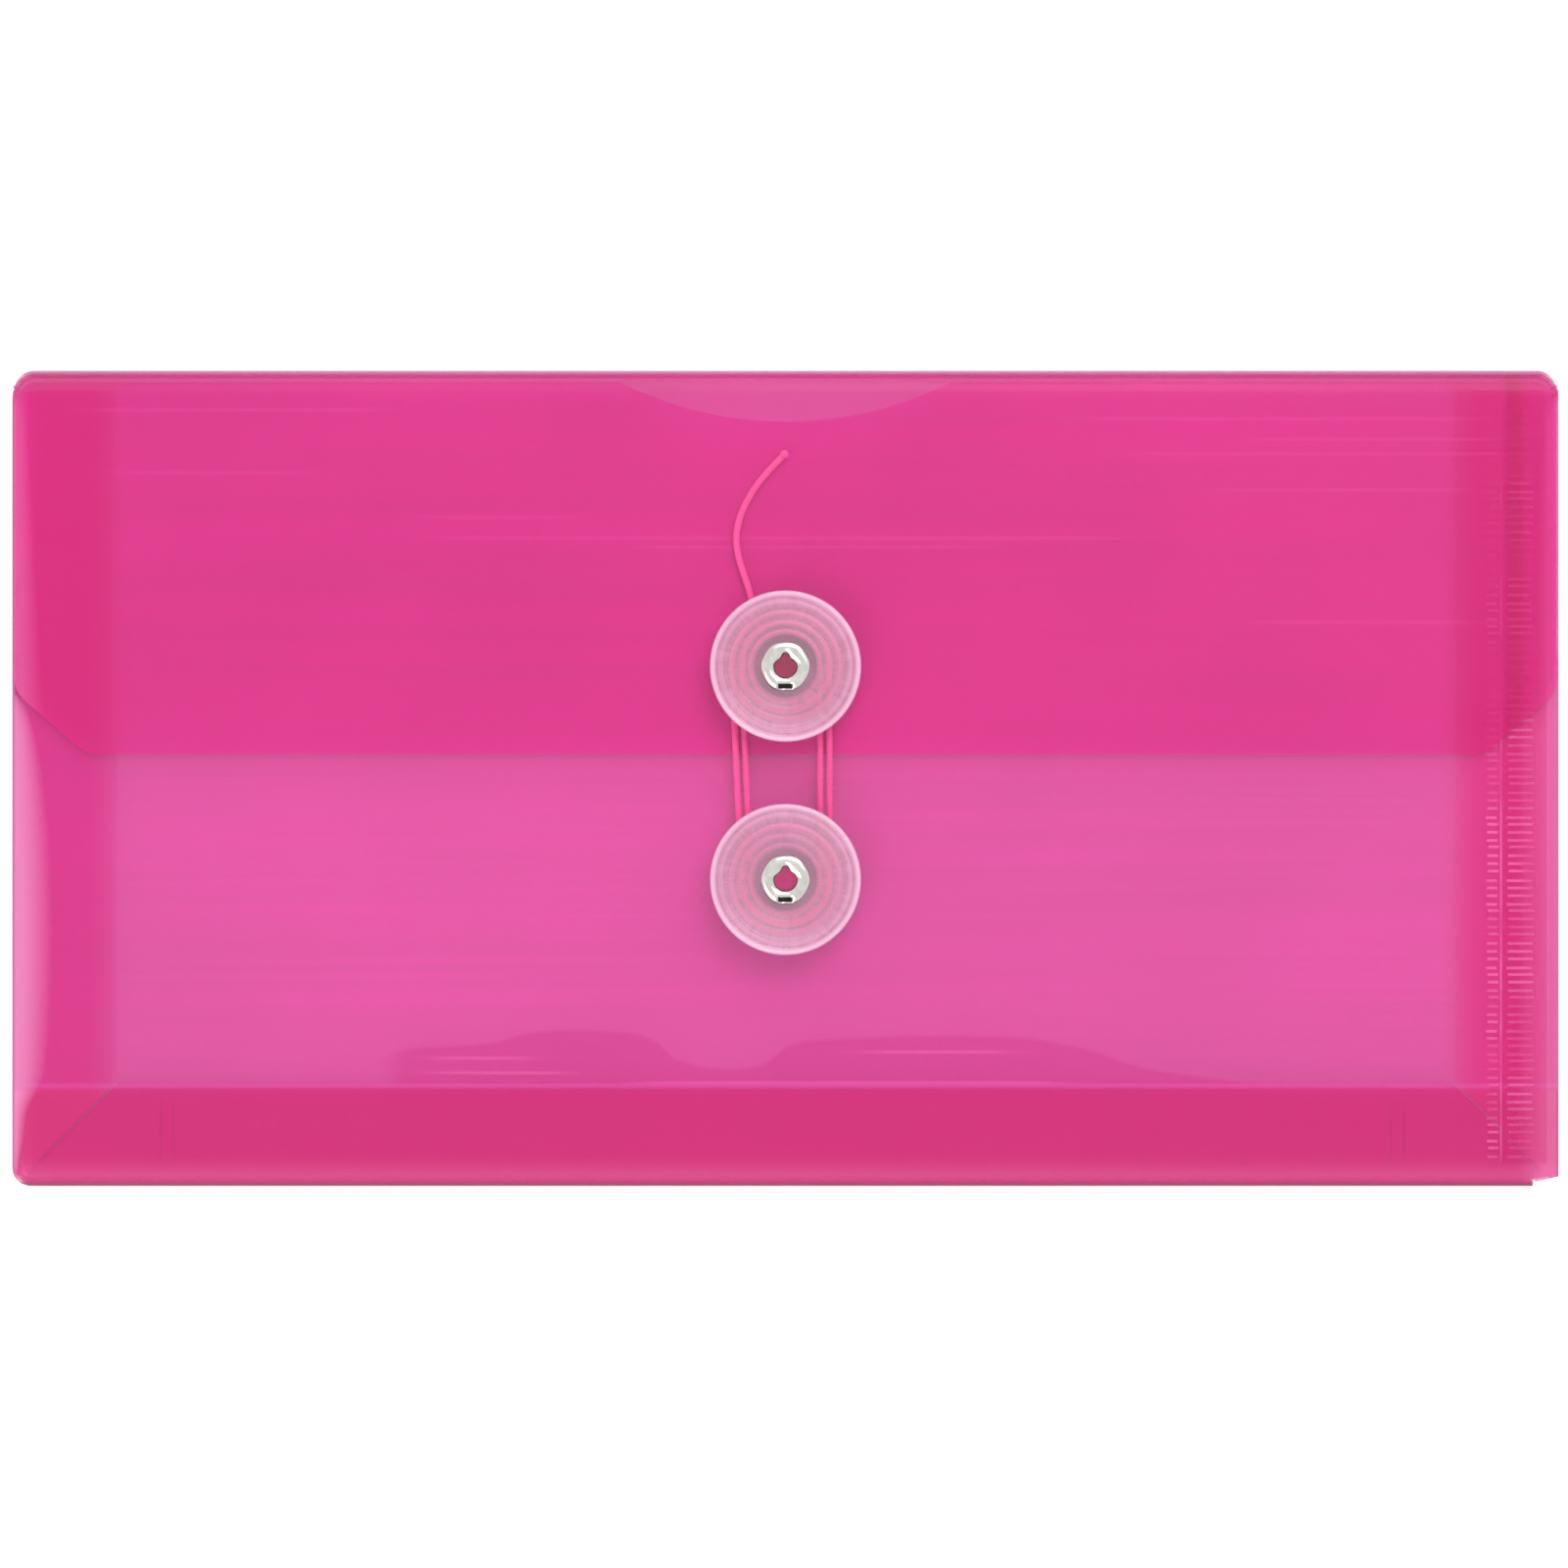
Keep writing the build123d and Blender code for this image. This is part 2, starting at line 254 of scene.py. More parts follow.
def buildEdgeMarks():
    labels = ["LensHighlight", "RimHighlight", "OutlineShade", "CrestShade", "Strip", "BandShade"]
    labels += ["FlankShade", "Side", "Seam", "CornerShade", "MitreShade", "LedgeHighlight"]
    group, place, outside = startGroup("edgeMarks", labels)
    x, y = millimetres(group, place)
    fromLeft = plus(group, x, envelope["halfWidth"])
    fromRight = minus(group, envelope["halfWidth"], x)
    fromSide = minus(group, envelope["halfWidth"], positive(group, x))
    fromLow = plus(group, y, envelope["halfHeight"])
    pastMitre = minus(group, fromLow, fromSide)

    def mark(value, name):
        return fade(group, value, *edgeShape[name])

    def between(value, first, second):
        return times(group, mark(value, first), mark(value, second))

    def weakerRight(value, name):
        low, high, loss = edgeShape[name]
        return times(group, value, minus(group, 1, times(group, fade(group, x, low, high), loss)))

    # painted highlight along the left and right edges where the pocket bulges
    height = calc(group, "DIVIDE", minus(group, y, edgeShape["lensMiddle"]), edgeShape["lensHalfLength"])
    bow = calc(group, "SQRT", higher(group, minus(group, 1, times(group, height, height)), 0.01))
    foot = plus(group, times(group, mark(y, "lensFoot"), 0.5), 0.5)
    left = ramp(group, fromLeft, times(group, times(group, bow, edgeShape["leftLens"]), foot))
    right = ramp(group, fromRight, times(group, mark(y, "rightLensTop"), edgeShape["rightLens"]))
    # painted highlight along the sides, weaker to the right
    rim = ramp(group, fromSide, minus(group, edgeShape["rimWidth"], times(group, y, edgeShape["rimTaper"])))
    # painted shade: a thin dark line along the outer folds
    sideLine = times(group, mark(fromSide, "outlineSide"), edgeShape["outlineSideShare"])
    # painted shade over the bottom gusset
    band = mark(y, "band")
    # painted shade along the mitre fold beneath
    mitreShade = mark(positive(group, plus(group, pastMitre, edgeShape["mitreShift"])), "mitreShade")
    # painted highlight on the bulging edges, the flap's sides, the low fold and the ledge; painted shade on
    # the outline and the crest, over the gussets, in the corners and along the mitre
    marks = {
        "LensHighlight": higher(group, left, times(group, right, edgeShape["rightLensShare"])),
        "RimHighlight": weakerRight(rim, "rimLoss"),
        "OutlineShade": higher(group, mark(fromLow, "outlineLow"), sideLine),
        "CrestShade": mark(y, "crest"),
        "Strip": between(y, "stripTop", "stripLow"),
        "BandShade": band,
        "FlankShade": between(fromSide, "flankInner", "flankOuter"),
        "Side": between(x, "sideInner", "sideOuter"),
        "Seam": between(x, "seamInner", "seamOuter"),
        "CornerShade": times(group, band, mark(pastMitre, "corner")),
        "MitreShade": times(group, weakerRight(mitreShade, "mitreLoss"), mark(fromLow, "mitreTop")),
        "LedgeHighlight": between(y, "ledgeLow", "ledgeTop"),
    }
    for label, value in marks.items():
        group.links.new(value, outside[label])
    return group


filmMarks = buildFilmMarks()
edgeMarks = buildEdgeMarks()

# tints of the sheets and of the marks on them
film = {
    "back": (0.77, 0.085, 0.575),
    "front": (0.735, 0.015, 0.28),
    "frontLow": (0.66, 0.014, 0.235),
    "frontSideShade": (0.735, 0.012, 0.235),
    "frontSeam": (0.71, 0.0, 0.18),
    "frontBandShade": (0.70, 0.012, 0.215),
    "frontCornerShade": (0.64, 0.014, 0.17),
    "frontLineHighlight": (0.86, 0.09, 0.42),
    "ledgeHighlight": (0.82, 0.06, 0.42),
    "mitreShade": (0.42, 0.01, 0.14),
    "flap": (0.735, 0.004, 0.245),
    "flapFlankShade": (0.70, 0.008, 0.20),
    "flapSideShade": (0.67, 0.004, 0.19),
    "flapSeam": (0.57, 0.002, 0.125),
    "flapCrestShade": (0.53, 0.10, 0.33),
    "flapScuff": (0.90, 0.06, 0.40),
    "side": (0.68, 0.02, 0.21),
    "bottom": (0.56, 0.015, 0.12),
    "tab": (0.68, 0.006, 0.19),
    "bead": (0.86, 0.14, 0.43),
    "teeth": (0.84, 0.14, 0.42),
    "paleHighlight": (0.76, 0.235, 0.48),
    "stripHighlight": (0.74, 0.042, 0.25),
    # painted shade along the outer folds
    "outline": (0.37, 0.04, 0.14),
    "cling": (0.63, 0.0, 0.222),
    "roughness": 0.34,
    "specular": 0.3,
}
# how much of what is behind a sheet it hides, for one of its two faces
density = {
    "back": 0.55,
    "front": 0.33,
    "flap": 0.33,
    "side": 0.34,
    "bottom": 0.44,
    "tab": 0.14,
    "bead": 0.5,
    "teeth": 0.5,
}
# painted glow: faint light given off by the gussets and by the sheets under the eyelets' holes, standing in
# for light that spreads inside the pocket
spread = {
    "side": (0.10, 0.03, 0.08),
    "bottom": (0.05, 0.018, 0.04),
    "flapHole": (0.26, 0.0, 0.02),
    "frontHole": (0.95, 0.06, 0.28),
    "holeEdge": (2.3, 1.7),
}


def dimmed(tint, share):
    return tuple(value * share for value in tint)


def startFilm(part):
    material, tree, shader, place = startMaterial(part + "Film")
    grain = placeGroup(tree, filmMarks, place)
    colour = tintMix(tree, grain["Shade"], dimmed(film[part], 1.06), dimmed(film[part], 0.94))
    tree.links.new(colour, shader.inputs["Base Color"])
    roughness = plus(tree, times(tree, grain["Lines"], 0.08), film["roughness"])
    tree.links.new(roughness, shader.inputs["Roughness"])
    shader.inputs["Specular IOR Level"].default_value = film["specular"]
    shader.inputs["Alpha"].default_value = density[part]
    addBump(tree, shader, grain["Lines"], 0.15, 0.0001)
    return material, tree, shader, place, colour


def layered(tree, colour, layers):
    # each layer is a mask, its strength and its tint
    for mask, strength, tint in layers:
        colour = tintMix(tree, times(tree, mask, strength), colour, film[tint])
    return colour


def summed(tree, base, layers):
    for mask, strength in layers:
        base = plus(tree, times(tree, mask, strength), base)
    return base


def giveLight(material, tree, shader, light):
    plug(tree, light, shader.inputs["Emission Color"])
    shader.inputs["Emission Strength"].default_value = 1.0
    material.cycles.emission_sampling = "NONE"  # too faint to be sampled as a lamp


def holeLight(tree, x, y, button):
    # painted glow under a button's eyelet
    radius = away(tree, x, minus(tree, y, buttonY[button]))
    return tintMix(tree, fade(tree, radius, *spread["holeEdge"]), (0, 0, 0), spread[button + "Hole"])


# scuffs along the flap and lines of painted highlight along the front: height, from x, to x; lines of
# painted shade along creases across the bottom band: x, from height, to height
scuffAndPaintedLine = {"edge": (0.4, 0.1), "run": 14}  # across it, and the most over which an end fades
flapScuffs = [
    (39.4, -64, 62), (37.9, -30, 40), (53.2, 48, 122), (55.6, 70, 124), (58.9, 40, 120),
    (47.3, 62, 118), (60.4, -122, -58), (50.1, -118, -70), (42.8, -66, -28), (25.6, 70, 122),
]
frontHighlightLines = [(-48.4, -64, -30), (-50.0, -30, 52), (-46.0, -62, -38), (-45.0, 6, 44)]
bandCreaseShade = [(x, -66, -51) for x in (-102.6, -100.5, 99.4, 101.6)]


def scuffsAndPaintedLines(tree, along, across, scuffs):
    marks = None
    for middle, low, high in scuffs:
        run = min(scuffAndPaintedLine["run"], (high - low) / 3)
        line = fade(tree, positive(tree, minus(tree, across, middle)), *scuffAndPaintedLine["edge"])
        line = times(tree, line, fade(tree, along, low, low + run))
        line = times(tree, line, fade(tree, along, high, high - run))
        marks = higher(tree, marks, line) if marks else line
    return marks


# where the front clings to the back, a wavy patch is deeper
cling = {
    "left": -67.0,
    "width": 150.0,
    "low": -50.5,
    "height": 9.6,
    "wave": [  # its upper edge, as shares of its width and height
        (0.0, 0.3), (0.03, 0.63), (0.12, 0.74), (0.2, 0.96), (0.275, 0.92), (0.33, 0.46), (0.39, 0.31),
        (0.43, 0.46), (0.475, 0.79), (0.67, 0.86), (0.75, 0.72), (0.86, 0.26), (1.0, 0.0),
    ],
    "edge": (-0.15, 0.6),
    "foot": (-51.0, -50.2),
    "start": (-67.5, -62.0),
}


def clingPatch(tree, x, y):
    curve = tree.nodes.new("ShaderNodeFloatCurve")
    line, wave = curve.mapping.curves[0], cling["wave"]
    line.points[0].location, line.points[1].location = wave[0], wave[-1]
    for spot in wave[1:-1]:
        line.points.new(*spot)
    curve.mapping.update()
    along = calc(tree, "DIVIDE", minus(tree, x, cling["left"]), cling["width"])
    tree.links.new(along, curve.inputs["Value"])
    top = plus(tree, times(tree, curve.outputs[0], cling["height"]), cling["low"])
    patch = times(tree, fade(tree, minus(tree, top, y), *cling["edge"]), fade(tree, y, *cling["foot"]))
    return times(tree, patch, fade(tree, x, *cling["start"]))


def backFilmMaterial():
    material, tree, shader, place, colour = startFilm("back")
    giveLight(material, tree, shader, holeLight(tree, *millimetres(tree, place), "front"))
    return material


def frontFilmMaterial():
    material, tree, shader, place, colour = startFilm("front")
    edges = placeGroup(tree, edgeMarks, place)
    x, y = millimetres(tree, place)
    patch = clingPatch(tree, x, y)
    layers = [
        (fade(tree, y, *edgeShape["lowPart"]), 0.6, "frontLow"),
        # painted shade over the side gussets, where less light comes up through the sheets
        (edges["FlankShade"], 0.35, "frontLow"),
        # painted shade over the right gusset
        (edges["Side"], 1, "frontSideShade"),
        (edges["Seam"], 1, "frontSeam"),
        (patch, 0.9, "cling"),
        # painted highlight lines across the low part of the front
        (scuffsAndPaintedLines(tree, x, y, frontHighlightLines), 0.5, "frontLineHighlight"),
        # painted highlight on the rounded inner fold of the bottom gusset beneath
        (edges["LedgeHighlight"], 0.7, "ledgeHighlight"),
        # painted shade over the bottom gusset
        (edges["BandShade"], 1, "frontBandShade"),
        # deeper painted shade in the corners where the gussets meet
        (edges["CornerShade"], 1, "frontCornerShade"),
        # painted shade along creases across the bottom band
        (scuffsAndPaintedLines(tree, y, x, bandCreaseShade), 0.4, "mitreShade"),
        # painted shade along the mitre fold beneath
        (edges["MitreShade"], 0.7, "mitreShade"),
        # painted highlight along the low fold
        (edges["Strip"], 1, "stripHighlight"),
        # painted highlight on the bulging edges, with the sheet denser there
        (edges["LensHighlight"], 1, "paleHighlight"),
        # painted shade: a thin dark line on the outline, with the sheet denser there
        (edges["OutlineShade"], 1, "outline"),
    ]
    tree.links.new(layered(tree, colour, layers), shader.inputs["Base Color"])
    thicker = [(edges["LensHighlight"], 0.42), (edges["OutlineShade"], 0.42), (patch, 0.09), (edges["CornerShade"], 0.16)]
    tree.links.new(summed(tree, density["front"], thicker), shader.inputs["Alpha"])
    giveLight(material, tree, shader, holeLight(tree, x, y, "flap"))
    return material


def flapFilmMaterial():
    material, tree, shader, place, colour = startFilm("flap")
    edges = placeGroup(tree, edgeMarks, place)
    # painted highlight along the flap's sides, with the sheet denser there
    rim = times(tree, edges["RimHighlight"], 0.42)
    layers = [
        # painted shade over the side gussets, deeper on the right
        (edges["FlankShade"], 1, "flapFlankShade"),
        (edges["Side"], 1, "flapSideShade"),
        (edges["Seam"], 1, "flapSeam"),
        (scuffsAndPaintedLines(tree, *millimetres(tree, place), flapScuffs), 0.36, "flapScuff"),
        (rim, 1, "paleHighlight"),
        # painted shade on the crest of the top fold, with the sheet denser there
        (edges["CrestShade"], 1, "flapCrestShade"),
    ]
    tree.links.new(layered(tree, colour, layers), shader.inputs["Base Color"])
    thicker = [(edges["CrestShade"], 0.35), (rim, 0.3)]
    tree.links.new(summed(tree, density["flap"], thicker), shader.inputs["Alpha"])
    return material


# how the gussets' look changes inwards from their outer folds
gussetLook = {
    "start": (0.6, 4.2),
    "end": 17.2,
    "soft": {"side": 5.8, "bottom": 2.2},  # how slowly it ends
    "least": 0.2,
    "turn": (1.8, 1.2),
    "turnAlpha": 0.34,
    "outer": (0.9, 0.3),
    "outerAlpha": 0.2,
    "outerShade": 0.7,
}


def gussetMaterial(part):
    # densest in the middle of its width, thinner to the eye beside its folds
    material, tree, shader, place, colour = startFilm(part)
    x, y = millimetres(tree, place)
    inward = plus(tree, y, envelope["halfHeight"])
    if part == "side":
        inward = minus(tree, envelope["halfWidth"], positive(tree, x))
    end, least = gussetLook["end"], gussetLook["least"]
    window = fade(tree, inward, end, end - gussetLook["soft"][part])
    window = times(tree, fade(tree, inward, *gussetLook["start"]), window)
    body = times(tree, plus(tree, times(tree, window, 1 - least), least), density[part])
    # painted shade along the outer fold, with the sheet denser there
    outer = fade(tree, inward, *gussetLook["outer"])
    colour = layered(tree, colour, [(outer, gussetLook["outerShade"], "outline")])
    tree.links.new(colour, shader.inputs["Base Color"])
    turn = times(tree, fade(tree, inward, *gussetLook["turn"]), gussetLook["turnAlpha"])
    turn = plus(tree, turn, times(tree, outer, gussetLook["outerAlpha"]))
    tree.links.new(higher(tree, body, turn), shader.inputs["Alpha"])
    # painted glow standing in for light spread through the sheets
    giveLight(material, tree, shader, spread[part])
    return material


# pressed plastic that shows in some stretches and hardly in others
worn = {"grain": (60, 95, 60), "limits": (0.36, 0.6), "least": 0.3}


def wornFilmMaterial(part):
    material, tree, shader, place, colour = startFilm(part)
    stretches = fade(tree, noise(tree, place, worn["grain"]), *worn["limits"])
    share = plus(tree, times(tree, stretches, 1 - worn["least"]), worn["least"])
    tree.links.new(times(tree, share, density[part]), shader.inputs["Alpha"])
    return material


backFilm = backFilmMaterial()
flapFilm = flapFilmMaterial()
frontFilm = frontFilmMaterial()
sideFilm = gussetMaterial("side")
bottomFilm = gussetMaterial("bottom")
tabFilm = startFilm("tab")[0]
beadFilm = wornFilmMaterial("bead")
teethFilm = wornFilmMaterial("teeth")

# clear plastic with faint turned rings and flow lines, paler and denser at the rim
plastic = {
    "rings": (2.1, 0.35, 1),  # how dense the grain is outwards and round the disc
    "flow": (0.22, 9.0, 1),
    "turned": 3.7,
    "shares": (0.6, 0.4, 0.2),  # of rings, flow lines and turned rings in the grain
    "dark": (0.54, 0.28, 0.40),
    "bright": (0.72, 0.38, 0.54),
    "blush": (0.76, 0.24, 0.41),
    "blushInner": (4.6, 5.6),  # radii where it starts and is full
    "blushOuter": (10.2, 8.4),
    "boss": (0.42, 0.27, 0.34),
    "bossEdge": (6.0, 5.0),
    "rim": (0.82, 0.50, 0.67),
    "rimInner": (11.2, 11.75),
    "rimOuter": (12.5, 12.1),
    "alpha": 0.38,
    "outward": (7.0, 11.0),
}


def discMaterial(label):
    material, tree, shader, place = startMaterial(label + "Plastic")
    x, y = millimetres(tree, place)
    y = minus(tree, y, buttonY[label])
    radius = away(tree, x, y)
    polar = tree.nodes.new("ShaderNodeCombineXYZ")
    tree.links.new(radius, polar.inputs["X"])
    tree.links.new(calc(tree, "ARCTAN2", y, x), polar.inputs["Y"])
    rings = noise(tree, polar.outputs[0], plastic["rings"])
    flow = noise(tree, polar.outputs[0], plastic["flow"])
    turned = fade(tree, calc(tree, "SINE", times(tree, radius, plastic["turned"])), -1.0, 1.0)
    grain = summed(tree, -0.1, zip((rings, flow, turned), plastic["shares"]))
    blushOuter = fade(tree, radius, *plastic["blushOuter"])
    blush = times(tree, fade(tree, radius, *plastic["blushInner"]), blushOuter)
    blush = times(tree, blush, fade(tree, grain, 0.25, 0.8))
    boss = times(tree, fade(tree, radius, *plastic["bossEdge"]), 0.6)
    rim = times(tree, fade(tree, radius, *plastic["rimInner"]), fade(tree, radius, *plastic["rimOuter"]))
    colour = tintMix(tree, fade(tree, grain, 0.3, 0.7), plastic["dark"], plastic["bright"])
    for mask, tint in ((blush, "blush"), (boss, "boss"), (rim, "rim")):
        colour = tintMix(tree, mask, colour, plastic[tint])
    tree.links.new(colour, shader.inputs["Base Color"])
    tree.links.new(fade(tree, grain, -0.5, 2.8), shader.inputs["Roughness"])
    thicker = [(fade(tree, radius, *plastic["outward"]), 0.04), (grain, 0.1), (rim, 0.16)]
    tree.links.new(summed(tree, plastic["alpha"], thicker), shader.inputs["Alpha"])
    addBump(tree, shader, grain, 0.12, 0.0002)
    return material


# bright plate with a little grime, and painted shade in the dent in the lower lip
nickel = {
    "grain": (900, 900, 900),
    "grime": (0.50, 0.49, 0.45),
    "bright": (0.80, 0.78, 0.74),
    "nickShade": (0.02, 0.022, 0.018),
    "nickSide": (1.35, 1.1),
    "nickTop": (-2.75, -2.95),  # from the eyelet's middle
    "nickLow": (-3.75, -3.6),
}


def nickelMaterial(label):
    material, tree, shader, place = startMaterial(label + "Nickel")
    x, y = millimetres(tree, place)
    y = minus(tree, y, buttonY[label])
    wear = noise(tree, place, nickel["grain"], 4.0)
    # painted shade in the dent in the lower lip
    nickShade = times(tree, fade(tree, y, *nickel["nickTop"]), fade(tree, y, *nickel["nickLow"]))
    nickShade = times(tree, nickShade, fade(tree, positive(tree, x), *nickel["nickSide"]))
    colour = tintMix(tree, wear, nickel["grime"], nickel["bright"])
    tree.links.new(tintMix(tree, nickShade, colour, nickel["nickShade"]), shader.inputs["Base Color"])
    tree.links.new(fade(tree, wear, -0.2, 3.0), shader.inputs["Roughness"])
    shader.inputs["Metallic"].default_value = 1.0
    addBump(tree, shader, wear, 0.08, 0.0001)
    return material


fibres = {"grain": (2600, 2600, 2600), "dark": (0.74, 0.022, 0.19), "bright": (0.92, 0.085, 0.33)}


def stringMaterial():
    material, tree, shader, place = startMaterial("twistedString")
    fibre = noise(tree, place, fibres["grain"], 3.0)
    colour = tintMix(tree, fibre, fibres["dark"], fibres["bright"])
    tree.links.new(colour, shader.inputs["Base Color"])
    shader.inputs["Roughness"].default_value = 0.7
    shader.inputs["Sheen Weight"].default_value = 0.25
    addBump(tree, shader, fibre, 0.5, 0.00008)
    return material


twistedString = stringMaterial()
print("materials made")


# mesh helpers

def evenly(low, high, count):
    return [low + (high - low) * n / count for n in range(count + 1)]


def inSpans(*spans):
    # evenly spaced values over spans that follow one another
    values = evenly(*spans[0])
    for span in spans[1:]:
        values += evenly(*span)[1:]
    return values


def mirrored(half):
    return [-x for x in reversed(half[1:])] + half


def ease(value, low, high):
    t = min(max((value - low) / (high - low), 0), 1)
    return t * t * (3 - 2 * t)


def roundedLine(points, radius, steps):
    # a line of points with its inner corners rounded
    line = [Vector(points[0])]
    for before, corner, after in zip(points, points[1:], points[2:]):
        corner = Vector(corner)
        wayIn = (corner - Vector(before)).normalized()
        wayOut = (Vector(after) - corner).normalized()
        turn = wayIn.angle(wayOut)
        start = corner - wayIn * radius * math.tan(turn / 2)
        middle = corner + (wayOut - wayIn).normalized() * radius / math.cos(turn / 2)
        sign = 1 if wayIn.x * wayOut.y - wayIn.y * wayOut.x > 0 else -1
        for angle in evenly(0, sign * turn, steps):
            line.append(middle + Matrix.Rotation(angle, 2) @ (start - middle))
    return line + [Vector(points[-1])]


def gridSheet(across, along, place):
    # a grid whose every crossing is put in place by its own rule, in millimetres
    bm = bmesh.new()
    columns, rows = len(across) - 1, len(along) - 1
    bmesh.ops.create_grid(bm, x_segments=columns, y_segments=rows, size=0.5)
    for v in bm.verts:
        spot = place(across[round((v.co.x + 0.5) * columns)], along[round((v.co.y + 0.5) * rows)])
        v.co = Vector(spot) * mm
    return bm


def pierce(bm, centre, radius=2.3, clear=3.6):
    # a round hole for an eyelet, its edge bridged to the grid round it
    spot = Vector(centre) * mm
    near = [f for f in bm.faces if (f.calc_center_median() - spot).xy.length < clear * mm]
    bmesh.ops.delete(bm, geom=near, context="FACES")
    rim = [e for e in bm.edges if e.is_boundary and (e.verts[0].co - spot).xy.length < 2.2 * clear * mm]
    ring = bmesh.ops.create_circle(
        bm, segments=len(rim), radius=radius * mm, matrix=Matrix.Translation(spot)
    )["verts"]
    edges = {e for v in ring for e in v.link_edges}
    bmesh.ops.bridge_loops(bm, edges=rim + list(edges))
    bmesh.ops.recalc_face_normals(bm, faces=bm.faces[:])


def thicken(bm):
    # the sheet's thickness, half to each side of its middle
    thickness = envelope["sheet"]
    bm.normal_update()
    for v, normal in [(v, v.normal.copy()) for v in bm.verts]:
        v.co += normal * thickness / 2 * mm
    bmesh.ops.solidify(bm, geom=bm.faces[:], thickness=thickness * mm)
    bmesh.ops.recalc_face_normals(bm, faces=bm.faces[:])


def makePiece(name, bm, material, crispAngle=40):
    for f in bm.faces:
        f.smooth = True
    mesh = bpy.data.meshes.new(name)
    bm.to_mesh(mesh)
    bm.free()
    mesh.set_sharp_from_angle(angle=math.radians(crispAngle))
    mesh.materials.append(material)
    piece = bpy.data.objects.new(name, mesh)
    scene.collection.objects.link(piece)
    return piece


def lathe(outline, centreY, steps):
    # a closed ring turned about the upright line through a button
    bm = bmesh.new()
    verts = [bm.verts.new((radius * mm, centreY * mm, z * mm)) for radius, z in outline]
    edges = [bm.edges.new(pair) for pair in zip(verts, verts[1:] + verts[:1])]
    bmesh.ops.spin(
        bm, geom=verts + edges, cent=(0, centreY * mm, 0), axis=(0, 0, 1),
        angle=2 * math.pi, steps=steps, use_merge=True, use_duplicate=False,
    )
    bmesh.ops.remove_doubles(bm, verts=bm.verts[:], dist=1e-7)
    bmesh.ops.recalc_face_normals(bm, faces=bm.faces[:])
    return bm


def vertsOf(geometry):
    return [g for g in geometry if isinstance(g, bmesh.types.BMVert)]


def prism(outline, low, high):
    # an outline of (x, z) points drawn out along Y
    bm = bmesh.new()
    verts = [bm.verts.new((x * mm, low * mm, z * mm)) for x, z in outline]
    face = bm.faces.new(verts)
    far = bmesh.ops.extrude_face_region(bm, geom=[face])["geom"]
    bmesh.ops.translate(bm, verts=vertsOf(far), vec=(0, (high - low) * mm, 0))
    bmesh.ops.recalc_face_normals(bm, faces=bm.faces[:])
    return bm


def middleLevel(node):
    low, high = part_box(node)
    return (low.z + high.z) / 2 / mm


# the three large sheets; the back and the flap run on into the roll at the top edge
backLevel = envelope["sheet"] / 2
flapLevel = middleLevel("flap_panel")
frontLevel = middleLevel("front_panel")
roll = {
    "radius": 3.6,
    "lowTurn": -38.0,  # the back's sheet ends here on the roll, in degrees
    "highTurn": 35.0,  # and the flap's starts here
    "cornerRadius": 3.0,
    "halfWidth": 126.6,
    "wallY": 66.775,
    "middleZ": (backLevel + flapLevel) / 2,
    "rise": (flapLevel - backLevel) / 2,
}
roll["middleY"] = roll["wallY"] - roll["radius"]
# slow waves that a thin sheet keeps, none beside the eyelets
waves = {"long": (31, 23), "slant": (17, 29), "slantShare": 0.6, "calm": (6, 22)}


def rollSpot(x, angle):
    # a point of the roll, drawn in towards its rounded ends
    over = max(abs(x) - roll["halfWidth"] + roll["cornerRadius"], 0)
    drop = roll["cornerRadius"] - math.sqrt(max(roll["cornerRadius"] ** 2 - over**2, 0))
    turn = math.radians(angle)
    y = roll["middleY"] + roll["radius"] * math.cos(turn) - drop * ease(math.cos(turn), 0, 0.5)
    return x, y, roll["middleZ"] + roll["rise"] * math.sin(turn)


def ripple(x, y, height, phase):
    (longX, longY), (slantX, slantY) = waves["long"], waves["slant"]
    wave = math.sin(x / longX + phase) * math.sin(y / longY + 0.7 * phase)
    wave += waves["slantShare"] * math.sin(x / slantX - y / slantY + phase)
    nearest = min(math.hypot(x, y - middleY) for middleY in buttonY.values())
    return height * wave * ease(nearest, *waves["calm"])


def sheetRows(shares, turns):
    # rows over the flat sheet by their share of its height, then rows round the roll by their angle
    return [("flat", share) for share in shares] + [("roll", turn) for turn in turns]


flapShape = {
    "halfWidth": 126.6,
    "lowY": 3.9,
    "cornerWidth": 12.0,
    "cornerHeight": 10.4,
    "cornerRadius": 5.0,
    "droop": 0.28,  # how far the free edge hangs
    "droopRows": (3, 13),
    "wave": (0.07, 1.3),  # height and phase
    "calmTop": 14,
}


def flapEdge():
    # the right half of the lower edge, with its slanted and rounded corner
    half, low, steps = flapShape["halfWidth"], flapShape["lowY"], 6
    slantX, slantY = half - flapShape["cornerWidth"], low + flapShape["cornerHeight"]
    corners = [(0, low), (slantX, low), (half, slantY), (half, roll["middleY"])]
    line = roundedLine(corners, flapShape["cornerRadius"], steps)
    lowTurn, highTurn = line[1:steps + 2], line[steps + 2:-1]
    straight = [Vector((x, low)) for x in evenly(0, lowTurn[0].x, 44)]
    slant = [lowTurn[-1].lerp(highTurn[0], t) for t in evenly(0, 1, 8)]
    return straight + lowTurn[1:] + slant[1:-1] + highTurn


